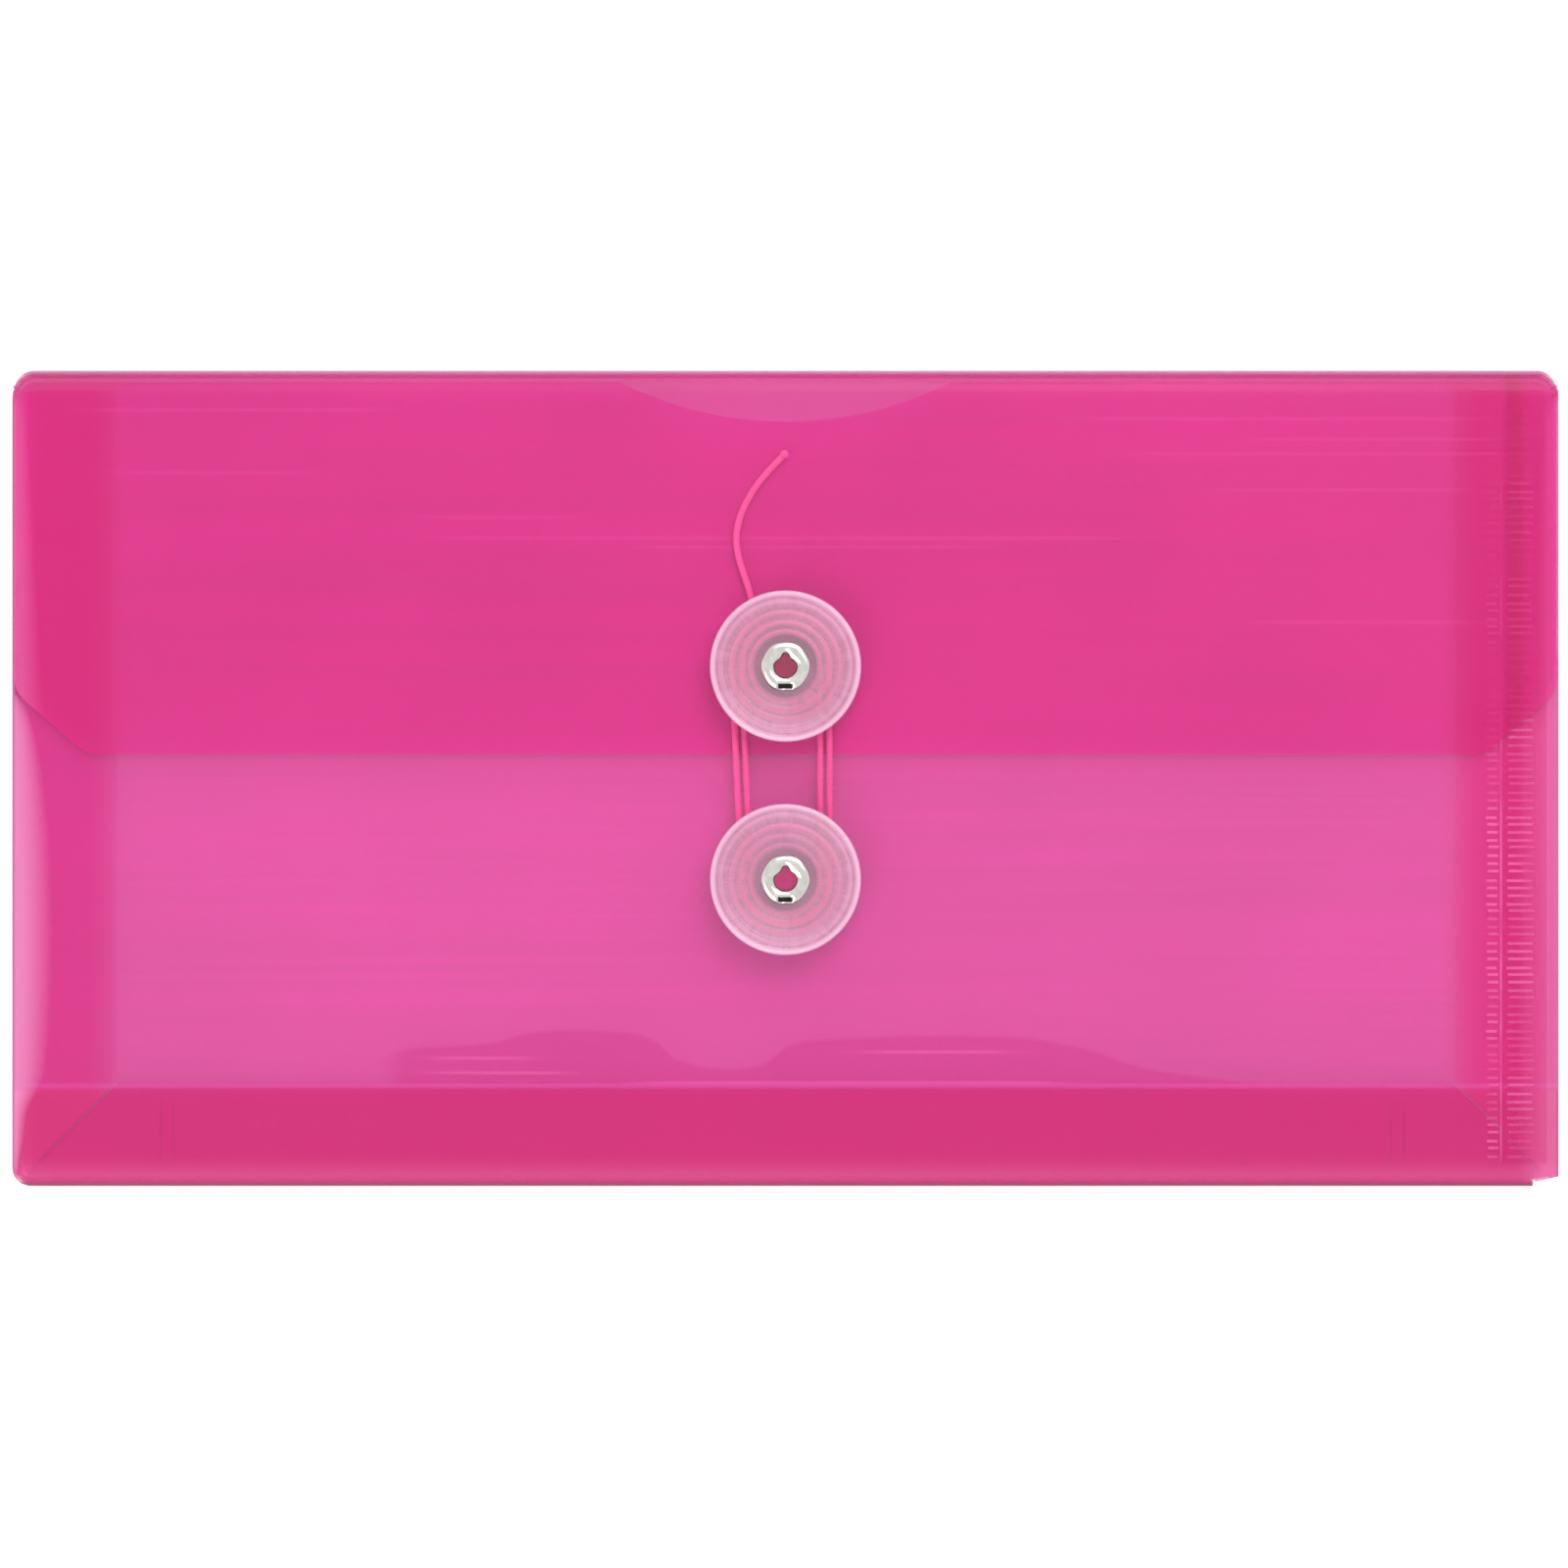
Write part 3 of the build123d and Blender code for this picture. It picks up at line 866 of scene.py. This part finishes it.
def makeFlap():
    lowEdge = {round(p.x, 6): p.y for p in flapEdge()}
    rows = sheetRows(evenly(0, 1, 34), evenly(90, roll["highTurn"], 10)[1:])

    def place(x, row):
        kind, value = row
        if kind == "roll":
            return rollSpot(x, value)
        start = lowEdge[abs(x)]
        y = start + (roll["middleY"] - start) * value
        droop = -flapShape["droop"] * (1 - ease(y, *flapShape["droopRows"]))
        wave = ripple(x, y, *flapShape["wave"]) * ease(roll["middleY"] - y, 0, flapShape["calmTop"])
        return x, y, flapLevel + droop + wave

    bm = gridSheet(mirrored(list(lowEdge)), rows, place)
    pierce(bm, (0, buttonY["flap"], flapLevel))
    thicken(bm)
    piece = makePiece("flapSheet", bm, flapFilm)
    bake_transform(piece)
    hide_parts("flap_panel", "flap_top_crease")


def makeWall():
    half, low, high = roll["halfWidth"], roll["lowTurn"], roll["highTurn"]
    cornerX = half - roll["cornerRadius"]
    columns = mirrored(inSpans((0, cornerX, 40), (cornerX, half, 8)))
    bm = gridSheet(columns, evenly(high, low, 12), rollSpot)
    thicken(bm)
    piece = makePiece("rollWall", bm, flapFilm)
    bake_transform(piece)
    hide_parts("flap_wall")


panelShape = {
    "halfWidth": 125.7,
    "lowY": -65.7,
    "toe": 0.5,  # how far the sheets reach lower beside the bottom folds' right end
    "toeX": 123.2,
    "mouthY": 65.0,
    "notchRadius": 60.0,
    "notchDepth": 6.5,
    "middleHalf": 27.0,  # half of the back's middle stretch of columns
    "edgeWidth": 3.0,  # the closest columns are this near the sides
    "widening": (0.972, 0.99),  # where the back grows to the roll's width
    "wave": (0.08, 0.4),  # the front's, height and phase
    "calmEdge": 16,
    "roundCorners": [(-124.0, -64.0), (-123.2, 62.5), (123.2, 62.5)],  # their middles
}


def clipCorner(x, y):
    # a square corner drawn in to a quarter circle
    for cornerX, cornerY in panelShape["roundCorners"]:
        over = Vector((x - cornerX, y - cornerY))
        if over.x * cornerX > 0 and over.y * cornerY > 0:
            over *= max(abs(over.x), abs(over.y)) / over.length
            return cornerX + over.x, cornerY + over.y
    return x, y


def panelLow(x):
    # the sheets' lower edge, with a slanted toe at the right
    half, toeX = panelShape["halfWidth"], panelShape["toeX"]
    share = (half - x) / (half - toeX) if toeX - 0.1 < x < half else 0
    return panelShape["lowY"] - panelShape["toe"] * min(share, 1)


def panelColumns(middleHalf):
    half = panelShape["halfWidth"]
    edgeX = half - panelShape["edgeWidth"]
    return mirrored(inSpans((0, middleHalf, 14), (middleHalf, edgeX, 40), (edgeX, half, 6)))


def makeBack():
    rows = sheetRows(inSpans((0, 0.03, 6), (0.03, 1, 58)), evenly(-90, roll["lowTurn"], 9)[1:])
    growth = roll["halfWidth"] / panelShape["halfWidth"] - 1

    def place(x, row):
        kind, value = row
        if kind == "roll":
            return rollSpot(x * (1 + growth), value)
        wide = x * (1 + growth * ease(value, *panelShape["widening"]))
        y = panelLow(x) + (roll["middleY"] - panelLow(x)) * value
        return *(clipCorner(wide, y) if y < 0 else (wide, y)), backLevel

    bm = gridSheet(panelColumns(panelShape["middleHalf"]), rows, place)
    thicken(bm)
    piece = makePiece("backSheet", bm, backFilm)
    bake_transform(piece)
    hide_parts("back_panel", "flap_base_crease", "flap_base")


def makeFront():
    top, depth, radius = panelShape["mouthY"], panelShape["notchDepth"], panelShape["notchRadius"]
    notchHalf = math.sqrt(radius**2 - (radius - depth) ** 2)
    half, calm = panelShape["halfWidth"], panelShape["calmEdge"]

    def place(x, row):
        end = top
        if abs(x) < notchHalf:
            end = top - depth + radius - math.sqrt(radius**2 - x**2)
        y = panelLow(x) + (end - panelLow(x)) * row
        calmEdge = ease(half - abs(x), 0, calm) * ease(y - panelShape["lowY"], 0, calm)
        return *clipCorner(x, y), frontLevel + ripple(x, y, *panelShape["wave"]) * calmEdge

    rows = inSpans((0, 0.03, 6), (0.03, 0.975, 52), (0.975, 1, 6))
    bm = gridSheet(panelColumns(notchHalf), rows, place)
    pierce(bm, (0, buttonY["front"], frontLevel))
    thicken(bm)
    piece = makePiece("frontSheet", bm, frontFilm)
    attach(piece, "front_panel")
    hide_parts("front_panel")


makeBack()
makeWall()
makeFlap()
makeFront()
print("large sheets made")

# gussets: each half is one sheet that runs on round its fold, mitred against the next gusset
gusset = {
    "topY": 63.8,
    "mitreRoom": 0.1,  # between the gussets at the mitre's outer end
    "rearGap": 0.0125,  # and how the room grows with the distance from the fold
    "frontGap": 0.03,
    "sideStart": 0.7,  # the left front gusset starts this far above the bottom fold
    "bottomEnd": 122.7,  # the bottom folds stop here on the right
    "turnDepth": 1.0,  # this far inwards a sheet counts as the turn of its fold
    "toeLift": 0.25,  # slope of the right gusset's low end in that turn
    "bow": 0.16,
    "slit": 58.0,  # part of the turn that stays open at the front folds of the sides, in degrees
    "film": {"left": sideFilm, "right": sideFilm, "bottom": bottomFilm},
}


def gussetSpot(side, inward, share, z):
    # share runs from 0 to 1 along the gusset's width at that depth
    between = envelope["innerZ"] < z < envelope["frontZ"]
    if side == "bottom":
        gap = gusset["frontGap" if z > envelope["innerZ"] - envelope["bend"] else "rearGap"]
        room = gusset["mitreRoom"] if inward > gusset["turnDepth"] or between else 0
        high = envelope["foldX"] - inward * (1 + gap) - room
        low = -high
        if inward < gusset["turnDepth"]:
            high = min(high, gusset["bottomEnd"])
        return *clipCorner(low + (high - low) * share, envelope["foldLowY"] + inward), z
    low = envelope["foldLowY"] + inward
    if side == "right":
        low = max(low, panelShape["lowY"] + gusset["toeLift"] * max(envelope["reach"] - inward, 0))
        return envelope["foldX"] - inward, low + (gusset["topY"] - low) * share, z
    if between:
        low = max(low, envelope["foldLowY"] + gusset["sideStart"])
    return *clipCorner(-envelope["foldX"] + inward, low + (gusset["topY"] - low) * share), z


def arcLine(inward, z, start, end, steps):
    bend = envelope["bend"]
    turns = [math.radians(angle) for angle in evenly(start, end, steps)]
    return [(inward + bend * math.cos(turn), z + bend * math.sin(turn)) for turn in turns]


def gussetSheet(name, side, line, material):
    shares = inSpans((0, 0.03, 6), (0.03, 0.97, 40), (0.97, 1, 6))

    def place(share, spot):
        return gussetSpot(side, spot[0], share, spot[1])

    bm = gridSheet(shares, line, place)
    thicken(bm)
    return makePiece(name, bm, material)


def makeGusset(side):
    rearZ, innerZ, frontZ = envelope["rearZ"], envelope["innerZ"], envelope["frontZ"]
    inset, reach, bend, lean = envelope["inset"], envelope["reach"], envelope["bend"], envelope["lean"]
    slope = Vector((math.cos(math.radians(lean)), math.sin(math.radians(lean))))
    normal = Vector((-slope.y, slope.x))
    first = Vector((0, rearZ)) + normal * bend + slope * reach
    last = Vector((inset, innerZ)) - normal * bend - slope * reach
    flat = [first.lerp(last, t) + normal * gusset["bow"] * math.sin(math.pi * t) for t in evenly(0, 1, 10)]
    rearLine = [(reach, rearZ - bend)] + arcLine(0, rearZ, 270, 90 + lean, 10) + flat
    frontFlat = [(d, 2 * innerZ - z) for d, z in reversed(flat)]
    frontLine = [last] + arcLine(inset, innerZ, lean - 90, 90 - lean, 10) + frontFlat
    rearBody, frontBody = side + "_gusset_rear", side + "_gusset_front"
    material = gusset["film"][side]

    rear = gussetSheet(side + "GussetRear", side, rearLine, material)
    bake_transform(rear)
    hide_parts(side + "_rear_crease", rearBody)

    if side == "bottom":
        turn = [frontFlat[-1]] + arcLine(0, frontZ, 270 - lean, 90, 10) + [(reach, frontZ + bend)]
    else:
        # the front sheet's own edge turns down, and the gusset's turns up to meet it
        frontLine += arcLine(0, frontZ, 270 - lean, 180 + gusset["slit"], 4)
        turn = arcLine(0, frontZ, 180, 90, 6) + [(reach, frontZ + bend)]
    front = gussetSheet(side + "GussetFront", side, frontLine, material)
    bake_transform(front)
    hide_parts(side + "_inner_crease", frontBody)
    fold = gussetSheet(side + "FrontFold", side, turn, frontFilm)
    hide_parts(side + "_front_crease")
    if side == "bottom":
        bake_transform(fold)
    else:
        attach(fold, "front_panel")


for side in ("left", "right", "bottom"):
    makeGusset(side)
print("gussets made")

# the welded side tab: a thin strip, the bright bead along it and the teeth of the welding bar beside it
weld = {
    "left": 117.5,
    "right": 125.0,
    "lowY": -63.2,
    "topY": 62.5,
    "tabHeight": 0.1,
    "tabSlopes": (0.1, 0.2),  # how far its left and right edges lean in
    "beadHalf": 0.24,
    "beadHeight": 0.3,
    "pitch": 1.3,
    "toothWidth": 0.5,
    "toothHeight": 0.14,
    "toothBevel": 0.09,
    "teeth": [(115.2, 117.0), (118.6, 122.8)],
    "teethInset": 1.0,  # from the tab's ends
    "stagger": [(0.12, 2.3), (0.1, 0.7)],  # how far the teeth stray, and how fast that changes
    "crispAngle": 25,
}


def toothRow(low, high, base):
    # one row of teeth, each a little out of line
    row = bmesh.new()
    firstY, height = weld["lowY"] + weld["teethInset"], weld["toothHeight"]
    middle = Vector(((low + high) / 2, firstY, base + height / 2)) * mm
    extent = Vector((high - low, weld["toothWidth"], height)) * mm
    bmesh.ops.create_cube(row, size=1, matrix=Matrix.Translation(middle) @ Matrix.Diagonal(extent).to_4x4())
    upper = [e for e in row.edges if e.verts[0].co.z + e.verts[1].co.z > 2 * middle.z]
    bmesh.ops.bevel(
        row, geom=upper, offset=weld["toothBevel"] * mm, segments=2, profile=0.5, affect="EDGES", material=-1
    )
    tooth = row.verts[:] + row.edges[:] + row.faces[:]
    count = int((weld["topY"] - weld["lowY"] - 2 * weld["teethInset"]) / weld["pitch"])
    for n in range(1, count):
        copy = bmesh.ops.duplicate(row, geom=tooth)["geom"]
        stagger = sum(reach * math.sin(pace * n) for reach, pace in weld["stagger"])
        step = (stagger * mm, (n * weld["pitch"] + stagger) * mm, 0)
        bmesh.ops.translate(row, verts=vertsOf(copy), vec=step)
    return row


def makeWeld():
    base = frontLevel + envelope["sheet"] / 2
    tab = base + weld["tabHeight"]
    left, right, half = weld["left"], weld["right"], weld["beadHalf"]
    low, top, crisp = weld["lowY"], weld["topY"], weld["crispAngle"]
    leftSlope, rightSlope = weld["tabSlopes"]
    strip = [(left, base), (right, base), (right - rightSlope, tab), (left + leftSlope, tab)]
    piece = makePiece("weldedTab", prism(strip, low, top), tabFilm, crisp)
    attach(piece, "front_panel")
    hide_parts("side_weld")

    turns = evenly(0, math.pi, 8)
    bead = [(left + half * math.cos(t), base + weld["beadHeight"] * math.sin(t)) for t in turns]
    piece = makePiece("weldBead", prism(bead, low, top), beadFilm, crisp)
    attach(piece, "front_panel")

    bm = bmesh.new()
    for inner, outer in weld["teeth"]:
        row = toothRow(inner, outer, base)
        mesh = bpy.data.meshes.new("teeth")
        row.to_mesh(mesh)
        row.free()
        bm.from_mesh(mesh)
        bpy.data.meshes.remove(mesh)
    piece = makePiece("weldTeeth", bm, teethFilm, crisp)
    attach(piece, "front_panel")


makeWeld()
print("side weld made")

# buttons: a moulded disc with raised rings on a boss, and the nickel eyelet that holds it
disc = {
    "radius": 12.4,
    "thickness": 1.1,
    "rimHeight": 0.35,
    "bossRadius": 5.05,
    "bossHeight": 3.6,
    "bossFillet": 0.3,
    "boreRadius": 2.25,
    "chamfer": 0.2,
    "lowEdge": [(0.35, 0), (0.1, 0.1), (0, 0.35)],  # in from the radius, up from the underside
    "rim": [(0, 0.3), (0.09, 0.09), (0.3, 0), (0.6, 0.06), (0.8, 0.22)],  # in from it, down from the top
    "rimFoot": 0.92,
    "rings": [  # radius, half width, height
        (10.2, 0.55, 0.12),
        (8.6, 0.5, 0.1),
        (7.0, 0.5, 0.1),
        (5.5, 0.6, 0.08),
    ],
    "endPlay": 0.1,
}
eyelet = {
    "hole": 1.9,
    "barrel": 2.2,
    "flange": 4.0,
    "lip": 0.5,
    "lipOuter": [(0.1, 0), (0, 0.1), (0.02, 0.22), (0.25, 0.38)],  # in from the flange, up from its seat
    "lipTop": [(0.6, 0.02), (0.95, 0)],  # in from the flange, down from the lip's top
    "lipInner": [(0.75, 0.04), (0.35, 0.16), (0.1, 0.38), (0, 0.7)],  # out from the hole, down likewise
    "squeeze": 0.03,  # how much narrower the hole is than turned
    "shoulder": 0.33,  # how much narrower its upper half
    "point": 0.5,  # how far that draws up to a point
    "corners": (6, 0.014),  # how many the lip has, and how far they stand out
    "clinch": 3.6,
    "clinchHeight": 0.4,
    "clinchEdge": 0.15,
    "nickHalf": 1.2,
    "nickRows": (-3.7, -2.8),  # from the eyelet's middle
    "nickDepth": 0.22,
    "body": {"flap": "flap_panel", "front": "front_panel"},
}


def discOutline(low):
    under = low + disc["bossHeight"]
    face = under + disc["thickness"]
    top = face + disc["rimHeight"]
    radius, boss, bore = disc["radius"], disc["bossRadius"], disc["boreRadius"]
    chamfer, fillet = disc["chamfer"], disc["bossFillet"]
    outline = [(bore, low), (boss - chamfer, low), (boss, low + chamfer)]
    outline += [(boss, under - fillet), (boss + fillet, under)]
    outline += [(radius - inward, under + up) for inward, up in disc["lowEdge"]]
    outline += [(radius - inward, top - down) for inward, down in disc["rim"]]
    outline.append((radius - disc["rimFoot"], face))
    for ring, width, height in disc["rings"]:
        for t in (1, 0.5, 0, -0.5, -1):
            outline.append((ring + width * t, face + height * (math.cos(math.pi * t) + 1) / 2))
    return outline + [(bore + chamfer, face), (bore, face - chamfer)], face


def eyeletOutline(sheetLow, seat):
    hole, barrel, flange, clinch = eyelet["hole"], eyelet["barrel"], eyelet["flange"], eyelet["clinch"]
    low, edge, top = sheetLow - eyelet["clinchHeight"], eyelet["clinchEdge"], seat + eyelet["lip"]
    outline = [(hole, low + edge), (hole + edge, low), (clinch - edge, low), (clinch, low + edge)]
    outline += [(clinch, sheetLow), (barrel, sheetLow), (barrel, seat)]
    outline += [(flange - inward, seat + up) for inward, up in eyelet["lipOuter"]]
    outline += [(flange - inward, top - down) for inward, down in eyelet["lipTop"]]
    return outline + [(hole + outward, top - down) for outward, down in eyelet["lipInner"]]


def hammer(bm, centreY, seat):
    # the rolled lip is a little angular, its hole draws to a point, and its lower side has a nick
    hole, (nickLow, nickTop) = eyelet["hole"], eyelet["nickRows"]
    corners, stand = eyelet["corners"]
    for v in bm.verts:
        spot = Vector((v.co.x / mm, v.co.y / mm - centreY))
        turn = math.atan2(spot.y, spot.x)
        top = max(math.sin(turn), 0)
        inner = 1 - ease(spot.length, hole + 0.1, hole + 1.2)
        if spot.length < eyelet["barrel"] - 0.1 or v.co.z / mm > seat + 0.05:
            drop = eyelet["squeeze"] + eyelet["shoulder"] * top**1.5 - eyelet["point"] * top**12
            draw = 1 - inner * drop + (1 - inner) * stand * math.cos(corners * turn)
            v.co.x, v.co.y = spot.x * draw * mm, (centreY + spot.y * draw) * mm
        if v.co.z / mm > seat + 0.2 and abs(spot.x) < eyelet["nickHalf"] and nickLow < spot.y < nickTop:
            v.co.z -= eyelet["nickDepth"] * mm


def makeButton(label, sheetMiddle):
    halfSheet, centreY = envelope["sheet"] / 2, buttonY[label]
    outline, face = discOutline(sheetMiddle + halfSheet + disc["endPlay"])
    bm = lathe(outline, centreY, 96)
    piece = makePiece(label + "Disc", bm, discMaterial(label), 50)
    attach(piece, label + "_button")
    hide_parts(label + "_button")

    seat = face + disc["endPlay"]
    bm = lathe(eyeletOutline(sheetMiddle - halfSheet, seat), centreY, 72)
    hammer(bm, centreY, seat)
    piece = makePiece(label + "Eyelet", bm, nickelMaterial(label), 60)
    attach(piece, eyelet["body"][label])
    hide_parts(label + "_eyelet")


makeButton("flap", flapLevel)
makeButton("front", frontLevel)
print("buttons made")

# the string: a tied turn round the flap button, two long turns round both, and the loose end
string = {
    "diameter": 1.1,
    "level": 8.3129,
    "turns": [  # button, radius, from angle, to angle
        ("flap", 5.7, -67.83, -360.0),
        ("front", 5.7, 0.0, -177.455),
        ("flap", 7.25, 182.545, 0.0),
        ("front", 7.25, 0.0, -177.455),
        ("flap", 8.8, 182.545, 150.0),
    ],
    "stepAngle": 22.5,
    "tail": [
        (-5.871, 25.731), (-5.4, 29.4), (-7.9, 36.2), (-8.2, 40.2), (-7.1, 44.2), (-4.2, 49.1), (-0.2, 53.1),
    ],
    "spacing": 0.22,  # between the rings of the tube
    "sides": 18,
    "strands": 3,
    "lay": 3.4,  # length of one full twist of the strands
    "lobe": 0.1,
    "blend": (9, -16),  # from the flap's part to the part that is unwound, in y
}


def roundTurn(button, radius, angle):
    turn = math.radians(angle)
    return Vector((radius * math.cos(turn), buttonY[button] + radius * math.sin(turn)))


def stringRoute():
    # control points outside each turn, so that the curve itself keeps the turn's radius
    route = [roundTurn(*string["turns"][0][:3])]
    for button, radius, start, end in string["turns"]:
        count = math.ceil((start - end) / string["stepAngle"])
        step = (start - end) / count
        outside = radius / math.cos(math.radians(step / 2))
        route += [roundTurn(button, outside, start - step * (n + 0.5)) for n in range(count)]
    return route + [Vector(p) for p in string["tail"]]


def splinePoints(route):
    curve = bpy.data.curves.new("stringRoute", "CURVE")
    curve.dimensions = "3D"
    curve.resolution_u = 160
    spline = curve.splines.new("NURBS")
    spline.points.add(len(route) - 1)
    for point, spot in zip(spline.points, route):
        point.co = (spot.x * mm, spot.y * mm, string["level"] * mm, 1)
    spline.order_u = 3
    spline.use_endpoint_u = True
    holder = bpy.data.objects.new("stringRoute", curve)
    mesh = bpy.data.meshes.new_from_object(holder)
    points = [mesh.vertices[0].co.copy()]
    for v in mesh.vertices:
        if (v.co - points[-1]).length > string["spacing"] * mm:
            points.append(v.co.copy())
    bpy.data.objects.remove(holder)
    bpy.data.meshes.remove(mesh)
    return points


def stringSection():
    section = bpy.data.curves.new("stringSection", "CURVE")
    section.dimensions = "2D"
    loop = section.splines.new("POLY")
    loop.points.add(string["sides"] - 1)
    loop.use_cyclic_u = True
    depth = string["lobe"] / 2
    for n, point in enumerate(loop.points):
        turn = 2 * math.pi * n / string["sides"]
        radius = string["diameter"] / 2 * (1 - depth + depth * math.cos(string["strands"] * turn)) * mm
        point.co = (radius * math.cos(turn), radius * math.sin(turn), 0, 1)
    return bpy.data.objects.new("stringSection", section)


def makeString():
    points = splinePoints(stringRoute())
    section = stringSection()
    tube = bpy.data.curves.new("stringTube", "CURVE")
    tube.dimensions = "3D"
    tube.twist_mode = "Z_UP"
    tube.bevel_mode = "OBJECT"
    tube.bevel_object = section
    tube.use_fill_caps = True
    line = tube.splines.new("POLY")
    line.points.add(len(points) - 1)
    length = 0
    for n, (point, spot) in enumerate(zip(line.points, points)):
        length += (spot - points[n - 1]).length if n else 0
        point.co = (*spot, 1)
        point.tilt = 2 * math.pi * length / (string["lay"] * mm)
    holder = bpy.data.objects.new("stringTube", tube)
    scene.collection.objects.link(holder)
    bpy.context.view_layer.update()
    mesh = bpy.data.meshes.new_from_object(holder.evaluated_get(bpy.context.evaluated_depsgraph_get()))
    bm = bmesh.new()
    bm.from_mesh(mesh)
    bmesh.ops.remove_doubles(bm, verts=bm.verts[:], dist=1e-7)
    bmesh.ops.recalc_face_normals(bm, faces=bm.faces[:])
    bpy.data.objects.remove(holder)
    bpy.data.objects.remove(section)
    bpy.data.meshes.remove(mesh)
    piece = makePiece("tieString", bm, twistedString, 60)
    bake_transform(piece)
    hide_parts("string_winding", "string_tail")
    ends = [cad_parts["string_knot"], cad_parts["string_tip"]]
    for node in ends:
        node.data.materials.clear()
        node.data.materials.append(twistedString)
    print("string made,", round(length / mm, 1), "mm long")


makeString()

# floor, light and camera; the floor and the lamps in metres
studio = {
    "floorHalf": 3.0,
    "floorGrey": 0.46,
    "floorWhite": 0.62,  # added to what the camera sees of the floor
    "worldLight": 0.65,
    "lampLight": 9.0,
    "lampSize": 0.7,
    "lamps": [("keyLamp", (0.25, 0.6, 0.9), 1.0), ("fillLamp", (-0.4, -0.55, 0.85), 0.45)],
    "lens": 200.0,
    "sensor": 36.0,
    "frameWidth": 257.5,
    "frameLevel": 6.3,  # height at which the picture is that wide
    "centre": (-0.24, -0.97),
}


def seenDirectly(tree):
    # 1 where the camera sees the surface, straight or in metal or through glass
    path = tree.nodes.new("ShaderNodeLightPath")
    seen = higher(tree, path.outputs["Is Camera Ray"], path.outputs["Is Glossy Ray"])
    return higher(tree, seen, path.outputs["Is Transmission Ray"])


def makeFloor():
    bm = bmesh.new()
    bmesh.ops.create_grid(bm, x_segments=1, y_segments=1, size=studio["floorHalf"])
    bmesh.ops.translate(bm, verts=bm.verts[:], vec=(0, 0, -0.05 * mm))
    mesh = bpy.data.meshes.new("floor")
    bm.to_mesh(mesh)
    bm.free()
    material, tree, shader, place = startMaterial("paleFloor")
    grey = studio["floorGrey"]
    shader.inputs["Base Color"].default_value = (grey, grey, grey, 1)
    shader.inputs["Roughness"].default_value = 0.9
    shader.inputs["Specular IOR Level"].default_value = 0
    shader.inputs["Emission Color"].default_value = (1, 1, 1, 1)
    white = times(tree, seenDirectly(tree), studio["floorWhite"])
    tree.links.new(white, shader.inputs["Emission Strength"])
    mesh.materials.append(material)
    floor = bpy.data.objects.new("floor", mesh)
    scene.collection.objects.link(floor)


def makeLight():
    world = bpy.data.worlds.new("studio")
    scene.world = world
    world.use_nodes = True
    tree = world.node_tree
    sky = tree.nodes["Background"]
    sky.inputs["Color"].default_value = (1, 1, 1, 1)
    strength = tree.nodes.new("ShaderNodeMapRange")
    strength.inputs["To Min"].default_value = studio["worldLight"]
    strength.inputs["To Max"].default_value = 1.0
    tree.links.new(seenDirectly(tree), strength.inputs["Value"])
    tree.links.new(strength.outputs["Result"], sky.inputs["Strength"])
    for name, spot, share in studio["lamps"]:
        lamp = bpy.data.lights.new(name, "AREA")
        lamp.size = studio["lampSize"]
        lamp.energy = studio["lampLight"] * share
        holder = bpy.data.objects.new(name, lamp)
        holder.location = spot
        holder.rotation_euler = (-Vector(spot)).to_track_quat("-Z", "Y").to_euler()
        scene.collection.objects.link(holder)


def makeCamera():
    camera = bpy.data.cameras.new("camera")
    camera.sensor_width = studio["sensor"]
    camera.lens = studio["lens"]
    camera.clip_end = 20
    holder = bpy.data.objects.new("camera", camera)
    distance = studio["lens"] / studio["sensor"] * studio["frameWidth"] + studio["frameLevel"]
    centreX, centreY = studio["centre"]
    holder.location = (centreX * mm, centreY * mm, distance * mm)
    scene.collection.objects.link(holder)
    scene.camera = holder


makeFloor()
makeLight()
makeCamera()
scene.view_settings.view_transform = "Standard"
scene.cycles.transparent_max_bounces = 32
print("floor, light and camera made")
